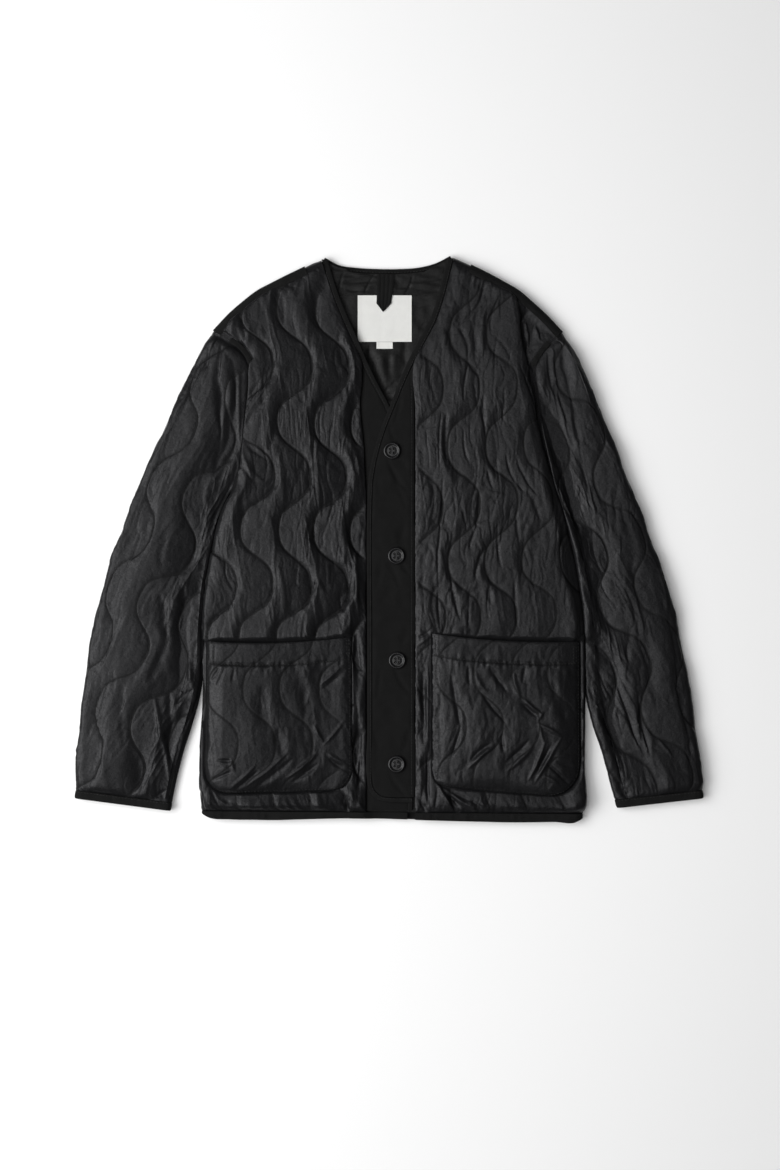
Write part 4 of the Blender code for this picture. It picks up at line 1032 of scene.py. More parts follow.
# ---------------------------------------------------------------- the two sleeves
# Tubes of the same quilted nylon, lying flat beside the body and folded along both edges, each sewn
# up along a seam near its inner edge. The upper layer is rumpled, most of all below the armhole.
SLEEVE_GRID = (353, 161)
SLEEVE_LIMIT = 14.5                 # the highest that its folds may stand
# Each sleeve down from the armhole: the outer edge, then the inner edge's height and how far it
# stands off the body's side, then how much of the armhole's bow the row keeps.
SLEEVES = {-1: np.array([
    (-229, 217, 46, 1.4, 0.80),
    (-248, 179, 28, 1.4, 0.60),
    (-266, 141, 8, 1.4, 0.42),
    (-282.5, 103, -14, 1.4, 0.27),
    (-299, 66, -38, 1.4, 0.15),
    (-313.5, 28, -64, 1.4, 0.07),
    (-328, -10, -93, 1.4, 0.02),
    (-341, -51, -124, 1.4, 0),
    (-352.5, -96, -157, 1.4, 0),
    (-361.5, -142, -190, 3.5, 0),
    (-367, -190, -224, 11.5, 0),
    (-371.5, -235, -257, 21, 0),
    (-375, -273, -289, 28.5, 0),
    (-376.5, -301, -316, 35, 0),
]), 1: np.array([
    (228, 212, 46, 1.4, 0.80),
    (244.5, 174, 28, 1.4, 0.60),
    (260, 137, 8, 1.4, 0.42),
    (275, 100, -14, 1.4, 0.27),
    (289.5, 63, -38, 1.4, 0.15),
    (303.5, 26, -64, 1.4, 0.07),
    (316.5, -11, -93, 1.4, 0.02),
    (331.5, -48, -124, 1.4, 0),
    (344, -95, -157, 1.4, 0),
    (354.5, -143, -190, 1.8, 0),
    (363, -190, -224, 10.5, 0),
    (369, -236, -255, 21.5, 0),
    (373.5, -271, -284, 29.5, 0),
    (376.5, -301, -312.5, 37.5, 0),
])}
CUFF_ENDS = {-1: np.array([(-377.8, -311.0), (-262.0, -326.2)]),
             1: np.array([(377.8, -311.0), (273.5, -322.8)])}
SLEEVE_SEAM = {-1: 9.0, 1: 14.0}    # how far the sleeve's seam lies in from its inner edge
# Each sleeve's quilting runs along it: its direction across (x, y), then the waves
SLEEVE_QUILT = {
    -1: ((0.925, -0.380),
         dict(centre=-274.7, pitch=45.5, swing=16.5, period=134.5, turn=42.0, puff=4.1)),
    1: ((0.937, 0.348),
        dict(centre=226.0, pitch=43.0, swing=15.6, period=140.0, turn=29.0, puff=3.2)),
}
# How each sleeve swells across its width, from the viewer's left edge to the right one: shares at
# the armhole, shares at the cuff, height
SLEEVE_SWELL = {
    -1: np.array([(0, 0, 0), (0.12, 0.1, 4), (0.38, 0.34, 11.5), (0.62, 0.6, 1.5),
                  (0.8, 0.8, -3), (1, 1, -4)]),
    1: np.array([(0, 0, 0), (0.12, 0.08, -1.5), (0.3, 0.15, -5), (0.48, 0.22, -3.4),
                 (0.84, 0.8, 7.2), (1, 1, 0)]),
}
SLEEVE_CREASES = {
    -1: [
        (-197, 236, -202, 118, 0.5, 3.2, 5), (-202, 128, -212, 66, -1, 3.6, 1.4),
        (-190, 230, -188, 128, 1, 3.6, -2.6), (-184, 214, -183, 150, 0.5, 1.5, 2.2),
        (-180, 196, -178.5, 112, 0.5, 2, -1.8), (-193, 222, -180, 196, -1, 1.5, 1.6),
        (-214, 64, -206, 0, -3, 5, 0.8), (-214, -30, -223, -124, 3, 5, 0.8),
        (-245, 98, -270, -44, 5, 6, 2.6), (-300, -98, -311, -154, 3, 5, 2),
        (-312, -168, -320, -262, 3, 5, 2.2), (-240, -60, -250, -190, 4, 6, 2),
        (-262, -300, -286, -318, 2, 3, 2), (-224, -184, -248, -236, 1, 1.5, 2.6),
        (-247, -230, -264.5, -300, 1, 1.5, 2.6), (-272, -66, -267, -120, -1, 5, 3.4),
        (-264, -108, -285, -174, -2, 5, 3), (-246, -54, -248, -82, 0.5, 4, 2.6),
        (-222, -40, -226, -168, 1, 5, 3), (-242, -142, -236, -182, 0.5, 3, -2.6),
        (-231, -120, -237, -152, -0.5, 3, 2.2), (-308, -166, -312, -246, 4, 4, 3.2),
        (-281, -188, -263, -294, -2, 3.2, -2.8), (-265, -182, -262, -238, -1, 4, 2.4),
        (-236, -180, -256, -198, 0.5, 3, 2), (-305, -250, -300, -300, -1, 7, 3),
        (-337, -242, -330, -308, -0.5, 3, -2), (-186, 190, -205, 120, -3, 4, -2),
        (-184, 160, -204, 96, -3, 4, 1.8), (-192, 96, -222, 40, 4, 5, -1.8),
        (-225, 190, -232, 110, 4, 7, -1.8), (-345, -90, -352, -200, 3, 6, 1.6),
        (-280, 60, -296, -20, -4, 6, 1.5), (-210, 236, -216, 196, 2, 4, 1.4),
    ],
    1: [
        (204.5, 232, 219, 164, 1, 3.4, 3.6), (218, 168, 229, 112, 0.5, 3.6, 3.2),
        (228, 118, 240, 60, 0.5, 4, 2.6), (203, 242, 221, 171, -2, 2.4, -2),
        (189, 236, 199, 168, 2.5, 1.6, 2.2), (193, 234, 206, 160, 2, 1.6, -2),
        (196, 196, 214, 140, 1, 1.5, 2), (200, 180, 216, 122, 1.5, 1.8, -2),
        (180, 214, 186, 170, 0.5, 3.4, -2.6), (188, 164, 204, 84, -2, 8, 4.6),
        (206, 92, 226, -10, -4, 7, 3.4), (226, 0, 234, -130, -3, 8, 3.4),
        (236, -110, 246, -200, 2, 6, 2.4), (249, -192, 268, -242, 0.5, 1.5, 2.8),
        (266, -236, 286.5, -318, 1, 1.5, 2.8), (274, -172, 299, -248, -1.5, 2.6, 3.2),
        (271.5, -176, 266.5, -220, -1, 2.2, 2.6), (298, -186, 309, -260, -1, 3, 2.6),
        (303, -226, 309, -262, 1, 1.6, -2.2), (282, -60, 300, -120, -2, 3, 1.8),
        (285, -124, 288, -150, 0.5, 2.4, 1.8), (350, -220, 358, -262, -1, 3, 2.2),
        (320, -240, 336, -262, 0.5, 1.6, -1.8), (268, 60, 292, -60, -5, 6, 1.8),
        (296, -70, 316, -200, -4, 6, 2), (330, -80, 350, -250, -4, 5, 1.8),
        (300, -200, 312, -300, 3, 5, 1.8), (240, 150, 262, 60, -4, 5, 1.6),
        (214, 226, 226, 180, 2, 4, -1.6),
    ],
}


def sleeve_rows(side, depth):
    """A sleeve's rows at a depth from its outer to its inner edge, and how clear each point is."""
    insets = folded_edge(depth)[0]
    turns = folded_edge(0.0)[0]
    count = len(turns)
    underarm = side_of(SIDES, side)[-1]
    up = toward(side_of(ARMHOLES, side)[0] - underarm)
    slit = underarm + up * SLEEVE_SEAM[side]
    tip = side_of(SHOULDERS, side)[-1]
    seam = side_of(ARMHOLES, side)
    over = tip + toward(seam[-1] - tip) * turns[:, None]
    seam = np.vstack([np.vstack([seam, over])[::-1], slit, underarm + up * turns[:, None]])
    seam = offset(seam, side * SEAM / 2)
    tip, foot = seam[0].copy(), seam[-1].copy()
    bow, shares = bow_of(seam)
    first = shares[count - 1]
    inner_share = (shares[count:-count - 1] - first) / (shares[-count - 1] - first)
    even = np.arange(1, len(inner_share) + 1) / (len(inner_share) + 1)
    seam[:count] = tip + (seam[count - 1] - tip) * insets[::-1, None] / MID
    seam[-count:] = foot + (seam[-count] - foot) * insets[:, None] / MID
    line = side_of(SIDES, side)
    rows = []
    for outer_x, outer_y, inner_y, stand_off, kept in SLEEVES[side]:
        inner_x = np.interp(inner_y, line[:, 1], line[:, 0]) + side * stand_off
        rows.append((np.array([outer_x, outer_y]), np.array([inner_x, inner_y]), kept))
    made = [seam]
    for outer, inner, kept in rows + [(*CUFF_ENDS[side], 0.0)]:
        width = np.linalg.norm(inner - outer)
        last = 1.0 - SLEEVE_SEAM[side] / width
        between = MID / width + (last - MID / width) * (inner_share * kept + even * (1.0 - kept))
        at = np.concatenate([insets[::-1] / width, between, [last], 1.0 - insets / width])
        made.append(outer + (inner - outer) * at[:, None] + bow * kept)
    return made


def flattened(row, depth):
    """The upper and lower points of a flattened tube's row at a depth."""
    rises = folded_edge(depth)[1]
    rise = np.concatenate([rises[::-1], np.full(len(row) - 2 * len(rises), MID - depth), rises])
    return np.column_stack([row, MID + rise]), np.column_stack([row, MID - rise])


def sleeve_face(side, depth):
    """A sleeve's face at a depth, coarse: from its seam round the inner edge and back on top."""
    grid = []
    for row in sleeve_rows(side, depth)[:-1]:
        over, under = flattened(row, depth)
        slit = len(row) - len(TURN) - 1
        gap = np.append(toward(row[slit + 1] - row[slit]), 0.0) * SEAM / 2
        grid.append(np.vstack([over[slit] + gap, over[slit + 1:], under[-2:0:-1],
                               over[:slit], over[slit] - gap]))
    return np.array(grid)


for side, name in HALVES:
    even = np.linspace(0.0, 1.0, SLEEVE_GRID[1])
    shares = np.interp(even, (0.0, 0.09, 0.29, 1.0), (0.0, 0.09, 0.53, 1.0))    # finest on top
    face, lining = [fine(sleeve_face(side, depth), *SLEEVE_GRID, shares=shares)
                    for depth in (0.0, WALL)]
    x, y = face[..., 0], face[..., 1]
    (way_x, way_y), waves = SLEEVE_QUILT[side]
    across, along = way_x * x + way_y * y, way_y * x - way_x * y
    puffed, thread = quilting(across, along, seed=111 + side, **waves)
    height = puffed + creased(x, y, SLEEVE_CREASES[side]) + 0.3 * wander(x, y, 6.0, 12.0, 114)
    low, high = across.min(axis=1, keepdims=True), across.max(axis=1, keepdims=True)
    share = (across - low) / (high - low)
    rough = 1.0 - 0.6 * unit((share - 0.42) / 0.2) if side < 0 else 0.75
    height += rough * rumpled(across, along, 115 + 10 * side)
    down = unit((along - along.min()) / (along.max() - along.min()))
    at_top, at_cuff, swollen = SLEEVE_SWELL[side].T
    height += (np.interp(share, at_top, swollen) * (1.0 - down)
               + np.interp(share, at_cuff, swollen) * down)
    away = from_sides(face)
    taped = unit((y - TAPE_FOOT_Y) / 6.0)
    at_armhole = np.maximum(away["foot"] - 3.6 * taped, 0.0)
    sewn = np.minimum(np.minimum(at_armhole, away["head"]),
                      np.minimum(away["start"], away["end"]) + 3.0)
    upper = np.clip((face[..., 2] - MID) / 5.0, -1.0, 1.0)
    taped = taped * np.exp(-away["foot"] / 12.0)
    height = (height * eased(sewn, 12.0) + 0.8 * eased(sewn, 20.0)
              - 1.4 * (1.0 - taped) * np.exp(-sewn / 2.5))
    height += puckered(x, y, sewn, (3.6, 5.2), 0.7, 15.0, 117)
    height = np.where(upper > 0.0, height * (0.35 + 0.65 * upper),
                      np.minimum(height * 0.5 - 1.2, 0.0) * -upper)
    beside_body = across - low if side > 0 else high - across
    inner_edge = beside_body + 40.0 * unit(-y / 60.0 - 1.8)
    bulge, reach = (4.6, 13.0) if side > 0 else (2.4, 8.0)
    rounded = unit(upper * 1.6) if side > 0 else 1.0 - np.abs(upper)
    height += bulge * bell(inner_edge, reach) * rounded
    face = raised_by(kept_low(height, SLEEVE_LIMIT), face, lining)
    face[..., 2] = np.maximum(face[..., 2], 0.0)
    leaning = bell(face[..., 1] + 146.0, 36.0) * bell(beside_body, 12.0)
    face[..., 0] -= side * 2.4 * leaning            # against the body, where both hang free
    shell_piece(f"{name}_sleeve_cloth", f"{name}_sleeve", face, lining, thread)


# ---------------------------------------------------------------- cuff bindings
# Each cuff ends in a band of the matte tape, folded over the quilted cloth's raw edge and stitched
# round, close to the band's upper edge.
CUFF_GRID = (13, 220)
BINDING_WALL = 4.4


def cuff_face(side, depth):
    """A cuff binding's face at a depth, coarse: a closed band on from the sleeve's last row."""
    rows = sleeve_rows(side, depth)
    ahead = toward(rows[-1].mean(axis=0) - rows[-2].mean(axis=0))
    grid = []
    for row in (rows[-2] + ahead * SEAM, rows[-1]):
        over, under = flattened(row, depth)
        grid.append(np.vstack([over, under[-2:0:-1]]))
    return np.stack([grid[0], (grid[0] + grid[1]) / 2, grid[1]])


for side, name in HALVES:
    outer, inner = [fine(cuff_face(side, depth), *CUFF_GRID, ring=True)
                    for depth in (0.0, BINDING_WALL)]
    crown = np.sin(np.pi * np.linspace(0.0, 1.0, CUFF_GRID[0]))[:, None] ** 0.4
    ripple = ((crown - 0.75) * 0.9
              + 0.4 * wander(outer[..., 0], outer[..., 1] * 0.5, 4.2, 9.0, 121) * crown)
    outer = raised_by(ripple, outer, inner)
    outer[..., 2] = np.maximum(outer[..., 2], 0.0)
    attach(cloth_piece(f"{name}_cuff_band", outer, inner, TAPE, ring=True),
           f"{name}_cuff_binding")


# ---------------------------------------------------------------- hem bindings
# The hem is bound with the same matte tape, folded over the raw edge, in one length apiece for the
# back and each front. The right front's ends thin, under the outer stand.
HEM_ROWS = 13
HEM_DROP = 0.8                      # thinner by this at its edge
RIGHT_HEM_END, RIGHT_HEM_STEP = 22.0, -20.0     # its end and its thinning, under the stand
# The lower edge. x, y
HEM = np.array([
    (-225, -329),
    (-219, -333),
    (-205, -336),
    (-140, -337.2),
    (-60, -335),
    (0, -335.8),
    (70, -338.2),
    (150, -340),
    (226, -339),
    (233, -335),
])


def hem_face(row, way, depth):
    """A hem binding's face at a depth, coarse, from a panel's lowest row to the jacket's edge."""
    start, foot = row.copy(), row.copy()
    start[:, 1] -= SEAM
    foot[:, 1] = np.interp(row[:, 0], HEM[:, 0], HEM[:, 1])
    middle = (start + foot) / 2
    if depth == 0.0:
        foot[:, 2] = MID + way * np.maximum(np.abs(foot[:, 2] - MID) - HEM_DROP, SEAM / 2)
    return np.array([start, middle, foot])


def hem_row(side, depth):
    """The lowest row of the back (0) or of a front, with the right one's thin end under the stand."""
    if side == 0:
        return back_face(depth)[0]
    row = front_face(side, depth)[0]
    if side > 0:
        return row
    step_x = np.array([RIGHT_HEM_END, RIGHT_HEM_STEP])
    step_y = np.interp(step_x, SIDES[0, [0, 2]], SIDES[0, [1, 3]])
    step_z = np.full(2, FRONT_EDGE[-1, 5] - depth * STAND_WALL / BINDING_WALL)
    return np.vstack([np.column_stack([step_x, step_y, step_z]), row])


for side, name, way in ((0, "back", -1.0), (-1, "right", 1.0), (1, "left", 1.0)):
    columns = 301 if side == 0 else 181
    outer, inner = [fine(hem_face(hem_row(side, depth), way, depth), HEM_ROWS, columns)
                    for depth in (0.0, BINDING_WALL)]
    x, y = outer[..., 0], outer[..., 1]
    crown = np.sin(np.pi * np.linspace(0.04, 1.0, HEM_ROWS))[:, None] ** 0.4
    thick = unit((np.abs(outer[..., 2] - MID) - 4.5) / 2.0)
    ripple = (crown - 0.8 + 0.45 * wander(x, y, 4.4, 9.0, 123) * crown) * thick
    if way < 0.0:
        ripple = np.minimum(ripple, 0.0)
    outer[..., 2] = np.maximum(outer[..., 2] + way * ripple, 0.0)
    attach(cloth_piece(f"{name}_hem_tape", outer, inner, TAPE), f"{name}_hem_binding")


# ---------------------------------------------------------------- shoulder and armhole tapes
# Matte tape covers the shoulder seams, folded round them, and the upper part of the armhole seams.
# It is one flat layer, sewn down along both of its edges.
SHOULDER_GRID = (25, 141)
TAPE_WALL = 1.1
TAPE_CLEARANCE = 0.5
ARMHOLE_TAPE = 6.0
TAPE_END_TURN = np.radians(10.0)


def shoulder_tape_face(side, depth):
    """The shoulder tape's face at a depth, coarse, round the shoulder fold and down on the front."""
    radius = MID + TAPE_CLEARANCE + TAPE_WALL - depth
    folded = front_face(side, 0.0)[FLAT_ROWS:, :-1]
    flat, edge = folded[0], folded[-1]
    away = edge[:, :2] - flat[:, :2]
    away /= np.linalg.norm(away, axis=1, keepdims=True)
    centre = edge[:, :2] - away * MID
    rows = []
    for turn in np.append(TAPE_END_TURN, TURN[::-1][1:]):
        rows.append((centre + away * radius * np.cos(turn), MID + radius * np.sin(turn)))
    rows.append((centre - away * (SHOULDER_TAPE - MID), MID + radius))
    return np.array([np.column_stack([line, np.full(len(line), top)]) for line, top in rows])[:, 1:]


for side, name in HALVES:
    outer, inner = [fine(shoulder_tape_face(side, depth), *SHOULDER_GRID) for depth in (0.0, TAPE_WALL)]
    x, y = outer[..., 0], outer[..., 1]
    rumple = 0.35 * wander(x, y, 7.0, 6.0, 131) + 0.3 * wander(x + y, y - x, 16.0, 12.0, 132)
    shift = (rumple * at_edges(outer, 3.0))[..., None] * (0.0, 0.0, 1.0)
    attach(cloth_piece(f"{name}_shoulder_strip", outer + shift, inner + shift, TAPE),
           f"{name}_shoulder_tape")
    seam = spread(side_of(ARMHOLES, side)[:-1], 60)
    sunk = np.interp(seam[:, 1], (TAPE_FOOT_Y - 4.0, TAPE_FOOT_Y + 8.0), (-3.4, 0.5))
    top = 2 * MID + TAPE_WALL + sunk
    lines = [np.column_stack([offset(seam, way * ARMHOLE_TAPE / 2), top]) for way in (-1, 1)]
    strip = tape(f"{name}_armhole_strip", *lines, TAPE_WALL, TAPE,
                 step=1.6, ripple=0.3, seed=133 + side)
    attach(strip, f"{name}_armhole_tape")


# ---------------------------------------------------------------- patch pockets
# A deep patch of the quilted nylon on each front, its top edge turned down and stitched straight
# across, its other edges stitched down all round with round lower corners.
POCKET_GRID = (145, 137)
POCKET_WALL = 4.5
POCKET_LIFT = 0.5                   # clear of the front
POCKET_ROWS, POCKET_COLUMNS = 6, 9
POCKET_HEM = 26.0
POCKET_LIMIT = 13.0                 # the highest that its folds may stand
POCKET_QUILT = {
    -1: dict(centre=-199.0, pitch=44.5, swing=20.0, period=135.0, turn=-179.0, puff=0.8,
             lean=0.35, crisp=0.5),
    1: dict(centre=74.5, pitch=44.0, swing=17.5, period=131.0, turn=-156.0, puff=1.0,
            lean=0.35, crisp=0.5),
}
# How each pocket swells across its width
POCKET_SWELL = {-1: (3.0, 9.5, 8.6, -0.8, -2.0), 1: (0.5, 1.8, 5.2, 8.0, 2.6)}
# How far in from its left and right edges each pocket reaches its full height, and how far in from
# them and its foot it is drawn down
POCKET_SLACK = {-1: (8.0, 44.0), 1: (14.0, 26.0)}
POCKET_DRAWN = {-1: (4.5, 13.0, 20.0), 1: (14.0, 8.0, 20.0)}
POCKET_CREASES = {
    -1: [
        (-191, -300, -160, -270, 1, 1.8, -2.6), (-188, -303, -156, -276, 1, 2.2, 2.4),
        (-175, -298, -120, -253, 2, 2.6, -3.4), (-170, -293, -124, -256, 2, 0.9, 2.4),
        (-166, -302, -114, -262, 2, 3.4, 2.4), (-122, -287, -87, -256, 2, 2.4, -3),
        (-116, -292, -84, -268, 1, 2.6, 2.2), (-206, -264, -184, -265, 1, 1.8, 2.6),
        (-212, -289, -186, -279, -1, 1.4, 2.4), (-188, -262, -183, -280, 1, 2, -2.6),
        (-200, -272, -188, -276, 1, 3, -1.8), (-80, -248, -52, -214, 1, 1.6, -2),
        (-90, -222, -78, -244, 0.5, 2, -2.2), (-72, -262, -44, -282, 0.5, 2, 2.8),
        (-74, -256, -48, -272, 0.5, 2, -2), (-84, -176, -54, -150, 1, 2, -2),
        (-80, -180, -52, -158, 1, 2.4, 1.8), (-150, -170, -143, -230, 4, 7, 2),
        (-106, -166, -99, -214, -3, 7, 1.8), (-132, -226, -126, -262, 1, 5, 2),
        (-214, -170, -202, -152, 1, 1.6, 1.6), (-209, -122, -209, -149, 0, 0.9, 1.6),
        (-216.5, -122, -216.5, -149, 0, 0.9, 1.2), (-206, -176, -196, -152, 1, 1.6, 1.6),
        (-188, -172, -184, -151, 0.5, 1.6, 1.4),
    ],
    1: [
        (166, -290, 187, -240, 1, 1.9, -3.8), (57.5, -114, 57.5, -139, 0, 1.3, -2),
        (222, -125, 222, -152, 0, 1.3, -2), (174, -292, 207, -237, -1, 2, -3.4),
        (175, -282, 193, -246, 0.5, 2.4, 3), (179, -221, 207, -238, -1, 1.9, -3),
        (179, -216, 185, -244, 1, 1.7, -2.6), (160, -190, 185, -211, 1, 1.9, -3),
        (158, -196, 178, -214, -1, 2.2, 2.4), (186, -206, 178, -218, 0.5, 1.6, -2.2),
        (141, -277, 174, -245, 1, 2.6, -3), (138, -268, 168, -240, 1, 2.4, 2.4),
        (93, -275, 127, -247, -1, 2.4, -2.8), (96, -266, 124, -243, -1, 2.2, 2),
        (136, -232, 136, -257, 0.5, 1.8, 2.4), (119, -152, 142, -183, 1, 3, 3),
        (110, -184, 142, -223, 1, 1.6, 2.4), (104, -160, 118, -186, 2, 3, -1.8),
        (73, -160, 86, -226, -1, 3, 2.4), (86, -222, 74, -264, -1, 2, 2.2),
        (188, -266, 219, -296, 0.5, 1.7, 3.6), (183, -282, 204, -296, -2, 2.2, -2.6),
        (196, -260, 218, -260, -1, 1.8, -2.4), (200, -266, 222, -272, 1, 2.4, 2),
        (150, -160, 158, -190, 2, 2.4, -2), (196, -166, 214, -222, 3, 5, 1.8),
        (62, -180, 60, -270, 0.5, 5, 2.2), (95, -150, 97, -176, 0.5, 1.8, 1.8),
        (164, -150, 160, -172, 0.5, 1.8, 1.8),
    ],
}


def pocket_face(side):
    """A pocket's outer face, coarse: rows from its round-cornered foot up to its open top."""
    pocket = POCKETS[side]
    tallest = max(pocket["radii"])
    height = pocket["top_left"][1] - pocket["bottom_left"][1]
    rises = np.concatenate([tallest * (1.0 - np.sin(TURN)),
                            np.linspace(tallest, height, POCKET_ROWS)[1:]])
    across = np.linspace(0.0, 1.0, POCKET_COLUMNS)
    grid = []
    for rise in rises:
        up = rise / height
        ends = []
        for end, radius, way in zip(("left", "right"), pocket["radii"], (1.0, -1.0)):
            foot, head = np.array(pocket[f"bottom_{end}"]), np.array(pocket[f"top_{end}"])
            point = foot * (1.0 - up) + head * up
            share = 1.0 - min(rise / radius, 1.0)
            point[0] += way * radius * (1.0 - np.sqrt(1.0 - share ** 2))
            ends.append(point)
        row = ends[0] + (ends[1] - ends[0]) * across[:, None]
        row[:, 1] -= pocket["dip"] * 4.0 * across * (1.0 - across) * up
        grid.append(np.column_stack([row, np.full(len(row), 2 * MID + POCKET_LIFT + POCKET_WALL)]))
    return np.array(grid)


for side, name in HALVES:
    face = fine(pocket_face(side), *POCKET_GRID)
    lining = face - (0.0, 0.0, POCKET_WALL)
    x, y = face[..., 0], face[..., 1]
    away = from_sides(face)
    puffed, thread = quilting(x, y, seed=141 + side, **POCKET_QUILT[side])
    height = puffed + creased(x, y, POCKET_CREASES[side]) + 0.5 * wander(x, y, 14.0, 22.0, 143)
    height += (0.22 if side < 0 else 0.4) * rumpled(x, y, 147) + 0.2 * wander(x, y, 4.6, 6.5, 144)
    across = away["start"] / (away["start"] + away["end"])
    height += np.interp(across, (0.0, 0.12, 0.32, 0.85, 1.0), POCKET_SWELL[side])
    sides = np.minimum(away["start"], away["end"])
    hem = np.abs(away["head"] - POCKET_HEM)
    hem_groove = bell(hem, 1.1)
    in_hem = unit((POCKET_HEM - away["head"]) / 3.0)
    slack = 0.7 + 0.3 * eased(np.minimum(hem, away["head"] + 2.0), 5.0)
    height = height * (1.0 - 0.45 * in_hem) * slack
    height += 0.3 * in_hem - 0.45 * hem_groove
    height += (1.3 - 0.6 * in_hem) * np.exp(-hem / 6.0) * wander(x, y, 3.4, 10.0, 145)
    sewn = np.minimum(sides, away["foot"])
    left_slack, right_slack = POCKET_SLACK[side]
    free = (eased(away["start"], left_slack) * eased(away["end"], right_slack)
            * eased(away["foot"], 32.0))
    puckers = puckered(x, y, sewn, (3.8, 5.4), 0.9, 16.0, 146)
    drawn = [eased(away[edge], reach)
             for edge, reach in zip(("start", "end", "foot"), POCKET_DRAWN[side])]
    height = (kept_low(height, POCKET_LIMIT) * free
              - 3.4 * (1.0 - np.minimum.reduce(drawn)) + puckers)
    height -= 0.6 * np.exp(-away["head"] / 1.5)
    face[..., 2] += height
    # the hem's groove goes into the thread values too, so the finish paints it darker as painted shade
    shell_piece(f"{name}_patch_pocket", f"{name}_pocket", face, lining,
                np.maximum(thread * free, hem_groove * 0.8))


# ---------------------------------------------------------------- the four buttons
# Glossy black four-hole buttons with a raised rim, sewn through with black thread. They stay as
# shown, done up.
BUTTONS = ((3.6, 105.6), (8.8, -20.2), (9.8, -145.6), (9.0, -270.0))
BUTTON_FOOT = 13.5
# A button's profile over its top and down its edge. radius, height
BUTTON_PROFILE = np.array([
    (0.0, 2.0), (3.4, 2.05), (5.2, 1.95), (6.6, 1.9), (7.3, 2.3), (8.0, 2.95), (8.6, 3.15),
    (9.3, 3.0), (10.1, 2.4), (10.4, 1.7), (10.2, 1.0), (9.4, 0.4), (8.4, 0.0), (4.0, 0.0),
    (0.0, 0.0),
])
HOLE_SPREAD, HOLE_RADIUS, HOLE_DEPTH = 2.3, 1.0, 1.6


def button_finish():
    """Moulded plastic: near black and glossy, its gloss uneven with faint scratches."""
    material, tree, shader = new_finish("black_button")
    place = node(tree, "TexCoord", (-5, 0)).outputs["Object"]
    marks = node(tree, "TexNoise", (-4, 0), Vector=place, Scale=900.0, Detail=3.0).outputs["Fac"]
    feed(tree, shader["Roughness"], ranged(tree, (-2, 0), marks, (0.0, 1.0), (0.12, 0.3)))
    shader["Base Color"].default_value = (0.006, 0.006, 0.0065, 1.0)
    shader["Specular IOR Level"].default_value = 0.22
    shader["Coat Weight"].default_value = 0.12
    shader["Coat Roughness"].default_value = 0.05
    return material


PLASTIC = button_finish()


def turned_piece(name, profile, centre, foot, finish, around=64, fineness=41):
    """A profile turned about an upright axis, its ends on the axis closed by single points. Four
    holes are pressed into the top: a smooth step down within a radius of four places."""
    marks = np.concatenate([[0.0], np.cumsum(np.linalg.norm(np.diff(profile, axis=0), axis=1))])
    at = np.linspace(0.0, marks[-1], fineness)
    radius, height = [np.interp(at, marks, profile[:, k]) for k in (0, 1)]
    turn = np.linspace(0.0, 2.0 * np.pi, around + 1)[:-1]
    x, y = radius[1:-1, None] * np.cos(turn), radius[1:-1, None] * np.sin(turn)
    z = np.repeat(height[1:-1, None], around, axis=1)
    hole = np.hypot(np.abs(x) - HOLE_SPREAD, np.abs(y) - HOLE_SPREAD)
    pressed = HOLE_DEPTH * unit((HOLE_RADIUS + 0.25 - hole) / 0.4)
    z = z - np.where(z > 1.5, pressed, 0.0)
    ring = np.stack([x, y, z], axis=-1).reshape(-1, 3)
    points = np.vstack([ring, [(0.0, 0.0, height[0]), (0.0, 0.0, height[-1])]]) + (*centre, foot)
    index = numbered(fineness - 2, around, ring=True)
    faces = squares(index)
    faces += [[len(ring), int(a), int(b)] for a, b in zip(index[0, :-1], index[0, 1:])]
    faces += [[len(ring) + 1, int(b), int(a)] for a, b in zip(index[-1, :-1], index[-1, 1:])]
    return made_up(name, points, faces, finish)


for number, centre in enumerate(BUTTONS, start=1):
    attach(turned_piece(f"front_button_{number}", BUTTON_PROFILE, centre, BUTTON_FOOT, PLASTIC),
           f"button_{number}")


# ---------------------------------------------------------------- stitching
# Black thread, in rows of single stitches that dip into the cloth: round the pockets, with a tacked
# box at each end of their openings, along the bindings and the stand, and crossed in each button.
THREAD = woven_finish("black_thread", (0.01, 0.01, 0.01), (0.018, 0.018, 0.018),
                      rough=0.5, shine=0.25, threads=900.0)
STITCH, STITCH_GAP, THREAD_RADIUS = 2.9, 0.9, 0.3


def pocket_outline(side, inset):
    """A line this far inside a pocket's sides and its round lower corners."""
    pocket = POCKETS[side]
    turn = np.linspace(0.0, np.pi / 2, 9)
    first, last = [radius - inset for radius in pocket["radii"]]
    from_left = np.array(pocket["bottom_left"]) + pocket["radii"][0]
    from_right = np.array(pocket["bottom_right"]) + (-pocket["radii"][1], pocket["radii"][1])
    return np.vstack([
        [np.array(pocket["top_left"]) + (inset, -1.5)],
        from_left - first * np.stack([np.cos(turn), np.sin(turn)], axis=-1),
        from_right + last * np.stack([np.sin(turn), -np.cos(turn)], axis=-1),
        [np.array(pocket["top_right"]) + (-inset, -1.5)],
    ])


def across_pocket(side, below):
    """A line across a pocket this far below its slack top edge."""
    pocket = POCKETS[side]
    share = np.linspace(0.015, 0.985, 25)[:, None]
    line = np.array(pocket["top_left"]) * (1.0 - share) + np.array(pocket["top_right"]) * share
    line[:, 1] -= pocket["dip"] * 4.0 * share[:, 0] * (1.0 - share[:, 0]) + below
    return line


def box_line(x0, y0, x1, y1):
    """The closed line round a box."""
    return np.array([(x0, y0), (x1, y0), (x1, y1), (x0, y1), (x0, y0)])


